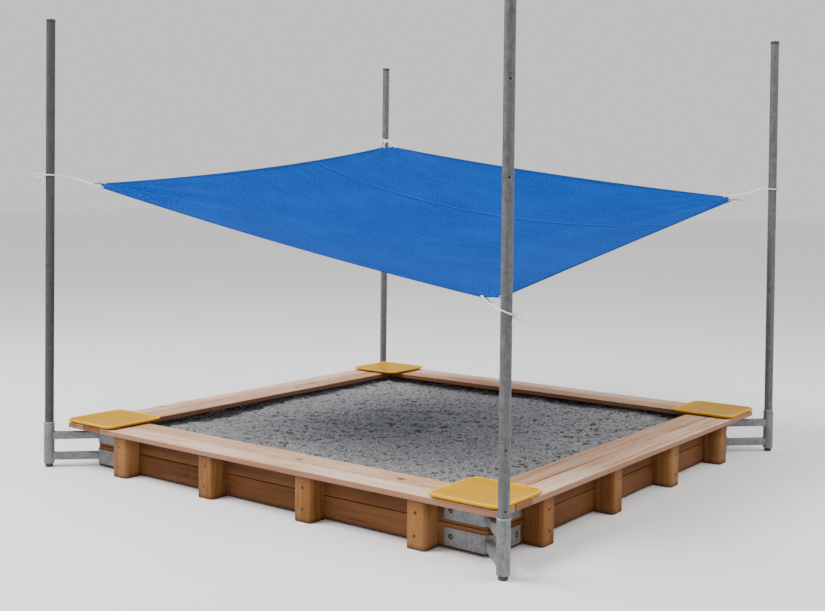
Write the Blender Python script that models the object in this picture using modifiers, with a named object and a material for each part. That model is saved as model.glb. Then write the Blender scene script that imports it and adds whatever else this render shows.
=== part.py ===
"""Sandbox with cover: a square timber sandpit with a plank seat, a galvanised bracket
round each corner, a mast standing in each bracket, and a net sail tied to the masts.

Metres, +Z up.  The origin is on the ground under the middle of the sandpit.
The front is -Y, the right is +X.
"""

import math

import bmesh
import bpy
import numpy as np
from mathutils import Vector

# ---------------------------------------------------------------- driving dimensions

GAP = 0.0003                 # left between pieces that touch

SEAT_SIDE = 2.82             # outer edge to outer edge of the seat
SEAT_TOP = 0.242
PLANK_WIDTH = 0.130
PLANK_THICK = 0.028
PLANK_GAP = 0.006            # between the outer and the inner plank
BUTT_GAP = 0.003             # where a plank's end meets its neighbour's edge
PLANK_EDGE = 0.003           # chamfer on a plank's edges

SEAT_OVERHANG = 0.105        # from the wall's outer face to the seat's outer edge
BOARD_THICK = 0.028
WALL_CLEARANCE = 0.008       # under the lower board
BOARD_JOINT_Z = 0.117        # middle of the joint between lower and upper board
BOARD_JOINT = 0.003
CORNER_BEVEL = 0.031         # leg of the 45 degree cut off the wall's corner

POST_WIDTH = 0.104
POST_DEPTH = 0.098
POST_TO_BAND = 0.036         # between an end post and the corner's band
POST_EDGE = 0.018            # round on the two outer edges

BAND_THICK = 0.005
BAND_HEIGHT = 0.080
BAND_REACH = 0.233           # from the wall's corner along each side
BAND_FLOOR = 0.018           # under the lower band
BAND_DROP = 0.002            # from the seat's underside to the upper band
ARM_SIZE = 0.040             # square tube

MAST_REACH = 0.072           # from the seat's edges to the mast's axis, along X and along Y
MAST_RADIUS = 0.02415
MAST_WALL = 0.0026
MAST_TOP = 2.442
MAST_HOLE_RADIUS = 0.0045
MAST_HOLES = (0.277, 0.521, 1.070, 1.601, 1.989)
TUBE_STEPS = 20

SOCKET_FIT = 0.00135         # radial, round the mast
SOCKET_WALL = 0.003
SOCKET_BOTTOM = 0.020
SOCKET_TOP = 0.2475

CAP_HEIGHT = 0.018
CAP_EDGE = 0.004
CAP_LIP = 0.00065            # beyond the mast's outside
PLUG_STEM = 0.035            # of a cap or a foot plug inside the tube
PLUG_FIT = 0.0004            # radial, between a stem and the tube
FOOT_HEIGHT = 0.020
FOOT_EDGE = 0.003
FOOT_INSET = 0.00315         # inside the mast's outside

TRAY_SIDE = 0.380
TRAY_OVERHANG = 0.013        # beyond the seat's outer edges
TRAY_THICK = 0.012
TRAY_RISE = 0.0105           # from the seat to the underside of the rim
TRAY_CORNER = 0.050
TRAY_CELLS = 8

SAND_DROP = 0.042            # from the seat's underside to the sand

SAIL_TO_MAST = 0.152         # from the mast's axis to where the edges would meet, along X and Y
SAIL_THICK = 0.0015
SAIL_CUT = 0.070             # leg of the cut at each tip
SAIL_INSET = 0.080           # how far each edge curves in at its middle
SAIL_CELLS = 18
SAIL_HEIGHT = {"front_left": 1.559, "front_right": 1.091, "back_right": 1.520, "back_left": 1.869}
SAIL_EDGE_SAG = {"front": 0.040, "back": 0.020, "left": 0.032, "right": 0.031}
SAIL_MIDDLE_SAG = 0.128

ROPE_RADIUS = 0.0035
ROPE_CLEARANCE = 0.0011      # between a rope and the mast that it goes round
ROPE_ARM_POINTS = 11         # along each arm, from the sail to the knot
ROPE_TURN_POINTS = 15        # round the mast
KNOT_OFF = 0.026             # from the mast's outside to the knot
TIE_HEIGHT = {"front_left": 1.606, "front_right": 1.067, "back_right": 1.580, "back_left": 1.916}
EYELET_MARGIN = 0.0045       # from the end of the cut edge to the rope's middle

# ---------------------------------------------------------------- derived places

HALF_SEAT = SEAT_SIDE / 2
SEAT_WIDTH = 2 * PLANK_WIDTH + PLANK_GAP
SEAT_UNDER = SEAT_TOP - PLANK_THICK
WALL_OUT = HALF_SEAT - SEAT_OVERHANG
WALL_IN = WALL_OUT - BOARD_THICK
SAND_TOP = SEAT_UNDER - SAND_DROP
POST_PITCH = 2 * (WALL_OUT - BAND_REACH - POST_TO_BAND - POST_WIDTH / 2) / 3
LOWER_BAND_Z = BAND_FLOOR + BAND_HEIGHT / 2
UPPER_BAND_Z = SEAT_UNDER - BAND_DROP - BAND_HEIGHT / 2
MAST_OFFSET = HALF_SEAT + MAST_REACH
SOCKET_RADIUS = MAST_RADIUS + SOCKET_FIT + SOCKET_WALL
CAP_RADIUS = MAST_RADIUS + CAP_LIP
FOOT_RADIUS = MAST_RADIUS - FOOT_INSET
SAIL_TIP = MAST_OFFSET - SAIL_TO_MAST
EYELET_SPREAD = SAIL_CUT / math.sqrt(2) - EYELET_MARGIN
KNOT_REACH = MAST_RADIUS + KNOT_OFF

# Turns that carry the front side to each side, and the back right corner to each corner.
SIDES = {"front": 0, "right": 90, "back": 180, "left": 270}
CORNERS = {"back_right": 0, "back_left": 90, "front_left": 180, "front_right": 270}

COLOURS = {
    "seat": ((0.72, 0.54, 0.39), 0.70, 0.0),
    "wall": ((0.33, 0.19, 0.09), 0.75, 0.0),
    "post": ((0.42, 0.25, 0.12), 0.75, 0.0),
    "bracket": ((0.42, 0.44, 0.45), 0.45, 0.9),
    "mast": ((0.30, 0.30, 0.30), 0.50, 0.9),
    "plug": ((0.02, 0.02, 0.02), 0.50, 0.0),
    "tray": ((0.90, 0.62, 0.06), 0.18, 0.0),
    "sail": ((0.02, 0.13, 0.50), 0.80, 0.0),
    "rope": ((0.80, 0.80, 0.76), 0.80, 0.0),
    "sand": ((0.15, 0.155, 0.16), 0.95, 0.0),
}

# ---------------------------------------------------------------- helpers


def start():
    """Empty the scene and make the two collections."""
    for obj in list(bpy.data.objects):
        bpy.data.objects.remove(obj, do_unlink=True)
    collections = []
    for name in ("sandbox_with_cover", "cutters"):
        collection = bpy.data.collections.new(name)
        bpy.context.scene.collection.children.link(collection)
        collections.append(collection)
    return collections


PARTS, CUTTERS = start()


def material(kind):
    """One Principled material for each kind of piece."""
    found = bpy.data.materials.get(kind)
    if found:
        return found
    colour, roughness, metallic = COLOURS[kind]
    made = bpy.data.materials.new(kind)
    made.use_nodes = True
    shader = made.node_tree.nodes["Principled BSDF"]
    shader.inputs["Base Color"].default_value = (*colour, 1.0)
    shader.inputs["Roughness"].default_value = roughness
    shader.inputs["Metallic"].default_value = metallic
    return made


def add(name, mesh, kind, location=(0, 0, 0), turn=0):
    """A named part with its material, turned about Z in degrees."""
    obj = bpy.data.objects.new(name, mesh)
    PARTS.objects.link(obj)
    if not mesh.materials:
        mesh.materials.append(material(kind))
    obj.location = location
    obj.rotation_euler = (0, 0, math.radians(turn))
    return obj


def mesh_from(bm, name):
    """Close a bmesh into a mesh with its faces pointing out."""
    bmesh.ops.recalc_face_normals(bm, faces=bm.faces)
    mesh = bpy.data.meshes.new(name)
    bm.to_mesh(mesh)
    bm.free()
    return mesh


def block(name, low, high):
    """A box between two corners."""
    bm = bmesh.new()
    bmesh.ops.create_cube(bm, size=1.0)
    size = [h - l for l, h in zip(low, high)]
    middle = [(h + l) / 2 for l, h in zip(low, high)]
    bmesh.ops.scale(bm, vec=size, verts=bm.verts)
    bmesh.ops.translate(bm, vec=middle, verts=bm.verts)
    return mesh_from(bm, name)


def finished(obj):
    """The evaluated mesh of an object, welded; the object itself is removed."""
    graph = bpy.context.evaluated_depsgraph_get()
    mesh = bpy.data.meshes.new_from_object(obj.evaluated_get(graph))
    mesh.transform(obj.matrix_world)
    bm = bmesh.new()
    bm.from_mesh(mesh)
    bmesh.ops.remove_doubles(bm, verts=bm.verts, dist=0.000001)
    bm.to_mesh(mesh)
    bm.free()
    mesh.materials.clear()
    bpy.data.objects.remove(obj, do_unlink=True)
    return mesh


def prism(name, outline, low, high):
    """A flat outline in XY, from height low to height high."""
    curve = bpy.data.curves.new(name, "CURVE")
    curve.dimensions = "2D"
    curve.fill_mode = "BOTH"
    curve.extrude = (high - low) / 2
    spline = curve.splines.new("POLY")
    spline.points.add(len(outline) - 1)
    for point, (x, y) in zip(spline.points, outline):
        point.co = (x, y, 0, 1)
    spline.use_cyclic_u = True
    obj = bpy.data.objects.new(name, curve)
    PARTS.objects.link(obj)
    obj.location = (0, 0, (low + high) / 2)
    bpy.context.view_layer.update()
    return finished(obj)


def turned(name, profile, steps=TUBE_STEPS):
    """A profile of (radius, height) points, top to bottom on its outside, turned about Z."""
    mesh = bpy.data.meshes.new(name)
    points = [(radius, 0, height) for radius, height in profile]
    closed = points[0] == points[-1]
    if closed:
        points = points[:-1]
    edges = [(i, i + 1) for i in range(len(points) - 1)]
    if closed:
        edges.append((len(points) - 1, 0))
    mesh.from_pydata(points, edges, [])
    obj = bpy.data.objects.new(name, mesh)
    PARTS.objects.link(obj)
    screw = obj.modifiers.new("turn", "SCREW")
    screw.steps = steps
    screw.render_steps = steps
    screw.use_merge_vertices = True
    screw.merge_threshold = 0.00001
    return finished(obj)


def rod(radius, top, bottom):
    """A solid upright cylinder on the Z axis."""
    return turned("rod", [(0, top), (radius, top), (radius, bottom), (0, bottom)])


def boolean(obj, cutter, operation):
    """Join or cut a part with an object that is kept among the cutters."""
    CUTTERS.objects.link(cutter)
    cutter.hide_render = True
    cutter.display_type = "WIRE"
    modifier = obj.modifiers.new(operation.lower(), "BOOLEAN")
    modifier.operation = operation
    modifier.solver = "EXACT"
    modifier.object = cutter


def smooth(mesh, angle=35):
    """Shade round faces smooth and keep the edges sharp."""
    mesh.shade_smooth()
    mesh.set_sharp_from_angle(angle=math.radians(angle))


# ---------------------------------------------------------------- seat


def seat_planks():
    """Two planks a side.  Each side runs through to the next corner and butts on the last."""
    start_x = -HALF_SEAT + SEAT_WIDTH + BUTT_GAP
    rows = {"outer": 0.0, "inner": PLANK_WIDTH + PLANK_GAP}
    for row, inset in rows.items():
        edge = -HALF_SEAT + inset
        low = (start_x, edge, SEAT_UNDER)
        high = (HALF_SEAT, edge + PLANK_WIDTH, SEAT_TOP)
        mesh = block("seat_plank_" + row, low, high)
        for side, turn in SIDES.items():
            plank = add(f"seat_{side}_{row}", mesh, "seat", turn=turn)
            bevel = plank.modifiers.new("edge", "BEVEL")
            bevel.width = PLANK_EDGE
            bevel.segments = 1


# ---------------------------------------------------------------- wall and posts


def wall_boards():
    """Lower and upper board a side, mitred, with the outer corner cut at 45 degrees."""
    half_gap = GAP / 2
    flat = WALL_OUT - CORNER_BEVEL
    cut = (WALL_OUT + flat) / 2
    outline = [
        (-flat, -WALL_OUT),
        (flat, -WALL_OUT),
        (cut - half_gap, -cut - half_gap),
        (WALL_IN - half_gap, -WALL_IN - half_gap),
        (-WALL_IN + half_gap, -WALL_IN - half_gap),
        (-cut + half_gap, -cut - half_gap),
    ]
    rows = {
        "lower": (WALL_CLEARANCE, BOARD_JOINT_Z - BOARD_JOINT / 2),
        "upper": (BOARD_JOINT_Z + BOARD_JOINT / 2, SEAT_UNDER - GAP),
    }
    for row, (low, high) in rows.items():
        mesh = prism("wall_board_" + row, outline, low, high)
        for side, turn in SIDES.items():
            add(f"wall_{side}_{row}", mesh, "wall", turn=turn)


def posts():
    """Four posts a side against the wall, their two outer upright edges rounded."""
    outer = -WALL_OUT - POST_DEPTH
    bm = bmesh.new()
    bmesh.ops.create_cube(bm, size=1.0)
    bmesh.ops.scale(bm, vec=(POST_WIDTH, POST_DEPTH - GAP, SEAT_UNDER - GAP), verts=bm.verts)
    front = [e for e in bm.edges if all(v.co.y < 0 for v in e.verts)]
    uprights = [e for e in front if abs(e.verts[0].co.z - e.verts[1].co.z) > 0.1]
    bmesh.ops.bevel(bm, geom=uprights, offset=POST_EDGE, segments=3, profile=0.5, affect="EDGES")
    middle = (0, outer + (POST_DEPTH - GAP) / 2, (SEAT_UNDER - GAP) / 2)
    bmesh.ops.translate(bm, vec=middle, verts=bm.verts)
    mesh = mesh_from(bm, "post")
    smooth(mesh, 50)
    for side, turn in SIDES.items():
        angle = math.radians(turn)
        for number in range(4):
            along = (number - 1.5) * POST_PITCH
            place = (along * math.cos(angle), along * math.sin(angle), 0)
            add(f"post_{side}_{number + 1}", mesh, "post", place, turn)


# ---------------------------------------------------------------- brackets and masts


def band_outline():
    """Plan of a band round the back right corner: two sides and the 45 degree face."""
    inner = WALL_OUT + GAP
    outer = inner + BAND_THICK
    end = WALL_OUT - BAND_REACH
    flat = WALL_OUT - CORNER_BEVEL
    step = BAND_THICK * math.tan(math.radians(22.5))
    lift = GAP * math.tan(math.radians(22.5))
    return [
        (end, inner),
        (end, outer),
        (flat + lift + step, outer),
        (outer, flat + lift + step),
        (outer, end),
        (inner, end),
        (inner, flat + lift),
        (flat + lift, inner),
    ]


def bracket_mesh():
    """Two bands, two square arms along the diagonal and the socket tube, as one weldment."""
    outline = band_outline()
    half = BAND_HEIGHT / 2
    lower = prism("band", outline, LOWER_BAND_Z - half, LOWER_BAND_Z + half)
    upper = prism("band_upper", outline, UPPER_BAND_Z - half, UPPER_BAND_Z + half)
    bracket = bpy.data.objects.new("bracket_work", lower)
    PARTS.objects.link(bracket)
    boolean(bracket, bpy.data.objects.new("band_upper", upper), "UNION")
    face = (WALL_OUT - CORNER_BEVEL / 2) * math.sqrt(2)
    axis = MAST_OFFSET * math.sqrt(2)
    for row, height in (("lower", LOWER_BAND_Z), ("upper", UPPER_BAND_Z)):
        low = (face + BAND_THICK / 2, -ARM_SIZE / 2, height - ARM_SIZE / 2)
        high = (axis, ARM_SIZE / 2, height + ARM_SIZE / 2)
        arm = bpy.data.objects.new("arm_" + row, block("arm_" + row, low, high))
        arm.rotation_euler = (0, 0, math.radians(45))
        boolean(bracket, arm, "UNION")
    socket = bpy.data.objects.new("socket_outside", rod(SOCKET_RADIUS, SOCKET_TOP, SOCKET_BOTTOM))
    socket.location = (MAST_OFFSET, MAST_OFFSET, 0)
    boolean(bracket, socket, "UNION")
    bore_mesh = rod(SOCKET_RADIUS - SOCKET_WALL, SOCKET_TOP + 0.01, SOCKET_BOTTOM - 0.01)
    bore = bpy.data.objects.new("socket_bore", bore_mesh)
    bore.location = (MAST_OFFSET, MAST_OFFSET, 0)
    boolean(bracket, bore, "DIFFERENCE")
    bpy.context.view_layer.update()
    mesh = finished(bracket)
    smooth(mesh)
    return mesh


def rotation_to_diagonal():
    """Turns +Z to the horizontal diagonal between +X and +Y."""
    return Vector((0, 0, 1)).rotation_difference(Vector((1, 1, 0))).to_matrix()


def mast_mesh():
    """A tube with holes drilled through it along the corner's diagonal."""
    bore = MAST_RADIUS - MAST_WALL
    foot = FOOT_HEIGHT + GAP
    profile = [
        (MAST_RADIUS, MAST_TOP),
        (MAST_RADIUS, foot),
        (bore, foot),
        (bore, MAST_TOP),
        (MAST_RADIUS, MAST_TOP),
    ]
    mast = bpy.data.objects.new("mast_work", turned("mast", profile))
    PARTS.objects.link(mast)
    drill = bmesh.new()
    for height in MAST_HOLES:
        made = bmesh.ops.create_cone(drill, cap_ends=True, segments=8, radius1=MAST_HOLE_RADIUS,
                                     radius2=MAST_HOLE_RADIUS, depth=4 * MAST_RADIUS)
        bmesh.ops.rotate(drill, verts=made["verts"], matrix=rotation_to_diagonal())
        bmesh.ops.translate(drill, verts=made["verts"], vec=(0, 0, height))
    boolean(mast, bpy.data.objects.new("mast_drill", mesh_from(drill, "mast_drill")), "DIFFERENCE")
    bpy.context.view_layer.update()
    mesh = finished(mast)
    smooth(mesh)
    return mesh


def cap_mesh():
    """A push-in cap: a disc on the tube's end and a stem inside it."""
    stem = MAST_RADIUS - MAST_WALL - PLUG_FIT
    rim = MAST_TOP + GAP
    profile = [
        (0, rim + CAP_HEIGHT),
        (CAP_RADIUS - CAP_EDGE, rim + CAP_HEIGHT),
        (CAP_RADIUS, rim + CAP_HEIGHT - CAP_EDGE),
        (CAP_RADIUS, rim),
        (stem, rim),
        (stem, rim - PLUG_STEM),
        (0, rim - PLUG_STEM),
    ]
    mesh = turned("mast_cap", profile)
    smooth(mesh)
    return mesh


def foot_mesh():
    """A plug that closes the tube's lower end and stands on the ground."""
    stem = MAST_RADIUS - MAST_WALL - PLUG_FIT
    profile = [
        (0, FOOT_HEIGHT + PLUG_STEM),
        (stem, FOOT_HEIGHT + PLUG_STEM),
        (stem, FOOT_HEIGHT),
        (FOOT_RADIUS, FOOT_HEIGHT),
        (FOOT_RADIUS, FOOT_EDGE),
        (FOOT_RADIUS - FOOT_EDGE, 0),
        (0, 0),
    ]
    mesh = turned("mast_foot", profile)
    smooth(mesh)
    return mesh


def brackets_and_masts():
    """One of each at every corner, the mast's own origin on its axis."""
    bracket = bracket_mesh()
    mast = mast_mesh()
    cap = cap_mesh()
    foot = foot_mesh()
    for corner, turn in CORNERS.items():
        add(f"bracket_{corner}", bracket, "bracket", turn=turn)
        angle = math.radians(turn + 45)
        reach = MAST_OFFSET * math.sqrt(2)
        place = (reach * math.cos(angle), reach * math.sin(angle), 0)
        add(f"mast_{corner}", mast, "mast", place, turn)
        add(f"mast_cap_{corner}", cap, "plug", place, turn)
        add(f"mast_foot_{corner}", foot, "plug", place, turn)


# ---------------------------------------------------------------- corner trays


def corner_trays():
    """A dished plate with round corners on each corner of the seat.

    A square grid is pulled to a square with round corners, and its middle is
    lowered until its underside rests on the seat.
    """
    bm = bmesh.new()
    bmesh.ops.create_grid(bm, x_segments=TRAY_CELLS, y_segments=TRAY_CELLS, size=1.0)
    half = TRAY_SIDE / 2
    straight = half - TRAY_CORNER
    for vert in bm.verts:
        across, along = vert.co.x * half, vert.co.y * half
        ring = max(abs(vert.co.x), abs(vert.co.y))
        over_x, over_y = abs(across) - straight, abs(along) - straight
        if over_x > 0 and over_y > 0:
            pull = max(over_x, over_y) / math.hypot(over_x, over_y)
            across = math.copysign(straight + over_x * pull, across)
            along = math.copysign(straight + over_y * pull, along)
        dish = (TRAY_RISE - GAP) * (1 - ring ** 4)
        vert.co = (across, along, SEAT_TOP + TRAY_RISE - dish)
    middle = HALF_SEAT + TRAY_OVERHANG - half
    bmesh.ops.translate(bm, vec=(middle, middle, 0), verts=bm.verts)
    mesh = mesh_from(bm, "corner_tray")
    smooth(mesh)
    for corner, turn in CORNERS.items():
        tray = add(f"corner_tray_{corner}", mesh, "tray", turn=turn)
        solidify = tray.modifiers.new("thickness", "SOLIDIFY")
        solidify.thickness = TRAY_THICK
        solidify.offset = 1.0


# ---------------------------------------------------------------- sand


def sand():
    """The filling, from the ground up, inside the walls."""
    half = WALL_IN - 2 * GAP
    add("sand", block("sand", (-half, -half, 0), (half, half, SAND_TOP)), "sand")


# ---------------------------------------------------------------- sail and ropes


def sail_point(across, along):
    """Place on the sail for 0..1 from left to right and 0..1 from front to back.

    The height is the four corners' blend, less a sag along each edge and in the
    middle; each edge curves in towards the middle.
    """
    height = SAIL_HEIGHT
    bow_x = 4 * across * (1 - across)
    bow_y = 4 * along * (1 - along)
    x = (2 * across - 1) * (SAIL_TIP - SAIL_INSET * bow_y)
    y = (2 * along - 1) * (SAIL_TIP - SAIL_INSET * bow_x)
    front = (1 - across) * height["front_left"] + across * height["front_right"]
    back = (1 - across) * height["back_left"] + across * height["back_right"]
    sag = bow_x * ((1 - along) * SAIL_EDGE_SAG["front"] + along * SAIL_EDGE_SAG["back"])
    sag += bow_y * ((1 - across) * SAIL_EDGE_SAG["left"] + across * SAIL_EDGE_SAG["right"])
    sag += bow_x * bow_y * SAIL_MIDDLE_SAG
    return x, y, (1 - along) * front + along * back - sag


def sail():
    """The net as a thin closed sheet, its four tips cut off square to the diagonals."""
    bm = bmesh.new()
    bmesh.ops.create_grid(bm, x_segments=SAIL_CELLS, y_segments=SAIL_CELLS, size=1.0)
    share = SAIL_CUT / (2 * SAIL_TIP)
    for vert in bm.verts:
        across, along = (vert.co.x + 1) / 2, (vert.co.y + 1) / 2
        tip = abs(vert.co.x) > 0.999 and abs(vert.co.y) > 0.999
        if tip:
            across += math.copysign(share / 2, 0.5 - across)
            along += math.copysign(share / 2, 0.5 - along)
        elif abs(vert.co.x) > 0.999 and abs(vert.co.y) > 1 - 2.5 / SAIL_CELLS:
            along = share if along < 0.5 else 1 - share
        elif abs(vert.co.y) > 0.999 and abs(vert.co.x) > 1 - 2.5 / SAIL_CELLS:
            across = share if across < 0.5 else 1 - share
        vert.co = sail_point(across, along)
    mesh = mesh_from(bm, "sail")
    if mesh.polygons[0].normal.z < 0:
        mesh.flip_normals()
    smooth(mesh)
    sheet = add("sail", mesh, "sail")
    solidify = sheet.modifiers.new("thickness", "SOLIDIFY")
    solidify.thickness = SAIL_THICK
    solidify.offset = 0.0


def smooth_route(points, count):
    """Evenly spaced points on the smooth (Catmull-Rom) curve through the given ones."""
    points = np.array(points)
    padded = np.vstack([2 * points[0] - points[1], points, 2 * points[-1] - points[-2]])
    fine = []
    for before, here, there, after in zip(padded, padded[1:], padded[2:], padded[3:]):
        for t in np.linspace(0, 1, 24, endpoint=False):
            bend = 2 * before - 5 * here + 4 * there - after
            twist = -before + 3 * here - 3 * there + after
            fine.append(0.5 * (2 * here + (there - before) * t + bend * t ** 2 + twist * t ** 3))
    fine = np.vstack([fine, points[-1]])
    length = np.concatenate([[0], np.cumsum(np.linalg.norm(np.diff(fine, axis=0), axis=1))])
    places = np.linspace(0, length[-1], count)
    return np.column_stack([np.interp(places, length, fine[:, axis]) for axis in range(3)])


def rope_route(corner):
    """From one eyelet to the mast, round behind it, and back to the other eyelet.

    Points are (towards the middle, sideways, height) from the mast's axis.
    """
    tie = TIE_HEIGHT[corner]
    hem = SAIL_HEIGHT[corner] - 0.001
    sail_edge = (SAIL_TO_MAST + SAIL_CUT / 2) * math.sqrt(2)
    span = sail_edge - KNOT_REACH
    arm = [
        (sail_edge - ROPE_RADIUS / 4 - 2 * GAP, EYELET_SPREAD, hem),
        (KNOT_REACH + 0.51 * span, 0.53 * EYELET_SPREAD, tie + (hem - tie) * 0.50),
        (KNOT_REACH + 0.19 * span, ROPE_RADIUS + 0.12 * EYELET_SPREAD, tie + (hem - tie) * 0.12),
        (KNOT_REACH, ROPE_RADIUS + 0.001, tie),
    ]
    arm = smooth_route(arm, ROPE_ARM_POINTS)
    around = MAST_RADIUS + ROPE_RADIUS + ROPE_CLEARANCE
    leave = math.degrees(math.acos(around / KNOT_REACH)) + 5
    turns = np.radians(np.linspace(leave, 360 - leave, ROPE_TURN_POINTS))
    loop = np.column_stack([around * np.cos(turns), around * np.sin(turns), np.full(len(turns), tie)])
    return np.vstack([arm, loop, arm[::-1] * (1, -1, 1)])


def ropes():
    """A rope at each corner, as a round tube."""
    for corner, turn in CORNERS.items():
        angle = math.radians(turn + 45)
        out = np.array((math.cos(angle), math.sin(angle), 0))
        side = np.array((-math.sin(angle), math.cos(angle), 0))
        mast = out * MAST_OFFSET * math.sqrt(2)
        points = [mast - out * s + side * n + np.array((0, 0, h)) for s, n, h in rope_route(corner)]
        curve = bpy.data.curves.new("rope_" + corner, "CURVE")
        curve.dimensions = "3D"
        curve.bevel_depth = ROPE_RADIUS
        curve.bevel_resolution = 2
        curve.use_fill_caps = True
        spline = curve.splines.new("POLY")
        spline.points.add(len(points) - 1)
        for point, place in zip(spline.points, points):
            point.co = (*place, 1)
        add("rope_" + corner, curve, "rope")


seat_planks()
wall_boards()
posts()
brackets_and_masts()
corner_trays()
sand()
sail()
ropes()
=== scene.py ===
"""A timber sandpit with a plank seat, galvanised brackets and masts, and a blue net sail.

Metres, +Z up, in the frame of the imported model.  The front is -Y and the right is +X.
"""

import bmesh
import bpy
import numpy as np
from mathutils import Matrix, Vector


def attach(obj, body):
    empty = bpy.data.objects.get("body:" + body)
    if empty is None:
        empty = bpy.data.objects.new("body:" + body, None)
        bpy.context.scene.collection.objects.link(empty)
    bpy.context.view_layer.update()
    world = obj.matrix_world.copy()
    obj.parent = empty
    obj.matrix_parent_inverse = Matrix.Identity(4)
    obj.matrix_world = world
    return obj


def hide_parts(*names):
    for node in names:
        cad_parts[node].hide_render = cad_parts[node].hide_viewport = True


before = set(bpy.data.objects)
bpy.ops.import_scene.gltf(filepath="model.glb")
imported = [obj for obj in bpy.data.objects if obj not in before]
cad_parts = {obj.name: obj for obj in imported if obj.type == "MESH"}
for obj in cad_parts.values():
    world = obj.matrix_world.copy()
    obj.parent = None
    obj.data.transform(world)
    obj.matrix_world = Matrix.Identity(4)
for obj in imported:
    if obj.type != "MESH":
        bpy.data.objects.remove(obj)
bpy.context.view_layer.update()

# ================================================================ camera
# A standing view from the front right corner, a little above the masts' middle.

CAMERA_PLACE = (3.9255, -5.3555, 1.5454)
CAMERA_TURN, CAMERA_PITCH, CAMERA_ROLL = 0.6450, -0.0230, 0.011
CAMERA_LENS = 50.38
CAMERA_SHIFT_Y = -0.1073

forward = Vector((
    -np.sin(CAMERA_TURN) * np.cos(CAMERA_PITCH),
    np.cos(CAMERA_TURN) * np.cos(CAMERA_PITCH),
    np.sin(CAMERA_PITCH),
))
level = Vector((np.cos(CAMERA_TURN), np.sin(CAMERA_TURN), 0.0))
upright = level.cross(forward)
right = level * np.cos(CAMERA_ROLL) + upright * np.sin(CAMERA_ROLL)
upright = upright * np.cos(CAMERA_ROLL) - level * np.sin(CAMERA_ROLL)
camera = bpy.data.objects.new("camera", bpy.data.cameras.new("camera"))
bpy.context.scene.collection.objects.link(camera)
camera.matrix_world = Matrix((right, upright, -forward)).transposed().to_4x4()
camera.location = CAMERA_PLACE
camera.data.lens = CAMERA_LENS
camera.data.sensor_width = 36.0
camera.data.shift_y = CAMERA_SHIFT_Y
camera.data.clip_end = 100.0
bpy.context.scene.camera = camera

# ================================================================ ropes
# White three-strand rope, 7 mm thick.  At each corner one rope goes from an eyelet
# of the sail round the mast and back to the other eyelet.

CORNERS = {
    "front_right": (1, -1),
    "front_left": (-1, -1),
    "back_right": (1, 1),
    "back_left": (-1, 1),
}
HALF_SEAT = 1.41
MAST_AXIS = 1.482
MAST_RADIUS = 0.02415
ROPE_THICK = 0.007
BOW_THICK = ROPE_THICK * 0.9
ROPE_LAY = 0.024             # length of one full turn of the strands
ROPE_STEP = 0.0016           # between the rings of a rope's mesh
KNOT_REACH = 0.05015         # from a mast's axis to where its rope crosses itself
KNOT_SIZE = 0.011
TIE_HEIGHT = {"front_left": 1.606, "front_right": 1.067, "back_right": 1.580, "back_left": 1.916}
TIP_HEIGHT = {"front_left": 1.559, "front_right": 1.091, "back_right": 1.520, "back_left": 1.869}
SAIL_TO_MAST = 0.152         # from a mast's axis to the sail's uncut tip, on x and on y
SAIL_CUT = 0.070             # how much of each side a tip's cut takes off


def corner_place(corner, inward, sideways, height):
    """Points given from the mast's axis: towards the middle, sideways, and up.

    x and y are the mast's, less inward along the outward diagonal, plus sideways
    along that diagonal turned a quarter left.
    """
    inward, sideways, height = np.broadcast_arrays(inward, sideways, height)
    out = np.array(CORNERS[corner]) / np.sqrt(2)
    side = np.array((-out[1], out[0]))
    plan = out * (MAST_AXIS * np.sqrt(2) - inward[..., None]) + side * sideways[..., None]
    return np.concatenate([plan, height[..., None]], axis=-1)


def flowing_line(points, spacing):
    """Evenly spaced points on the Catmull-Rom curve through the given ones.

    Between two points the curve is a cubic of t from 0 to 1 whose slope at each end
    is half the step between that point's two neighbours.
    """
    points = np.asarray(points, float)
    padded = np.vstack([2 * points[0] - points[1], points, 2 * points[-1] - points[-2]])
    before, here, there, after = (padded[i:len(padded) - 3 + i, None] for i in range(4))
    t = np.linspace(0, 1, 40, endpoint=False)[None, :, None]
    bend = (2 * before - 5 * here + 4 * there - after) * t ** 2
    twist = (3 * here - before - 3 * there + after) * t ** 3
    fine = 0.5 * (2 * here + (there - before) * t + bend + twist)
    fine = np.vstack([fine.reshape(-1, 3), points[-1]])
    run = np.concatenate([[0], np.cumsum(np.linalg.norm(np.diff(fine, axis=0), axis=1))])
    places = np.linspace(0, run[-1], max(4, int(run[-1] / spacing)))
    return np.column_stack([np.interp(places, run, fine[:, axis]) for axis in range(3)])


def line_frames(line):
    """Unit tangent, side and top at each point of a line, and the run up to it.

    The side starts square to the first tangent and is carried along by removing, at
    every point, the part of it that lies along the tangent.
    """
    tangent = np.gradient(line, axis=0)
    tangent /= np.linalg.norm(tangent, axis=1)[:, None]
    side = np.empty_like(line)
    start = np.array((0.0, 0.0, 1.0)) if abs(tangent[0, 2]) < 0.8 else np.array((1.0, 0.0, 0.0))
    for index, along in enumerate(tangent):
        start = start - along * (start @ along)
        start /= np.linalg.norm(start)
        side[index] = start
    run = np.concatenate([[0], np.cumsum(np.linalg.norm(np.diff(line, axis=0), axis=1))])
    return tangent, side, np.cross(tangent, side), run


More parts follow.
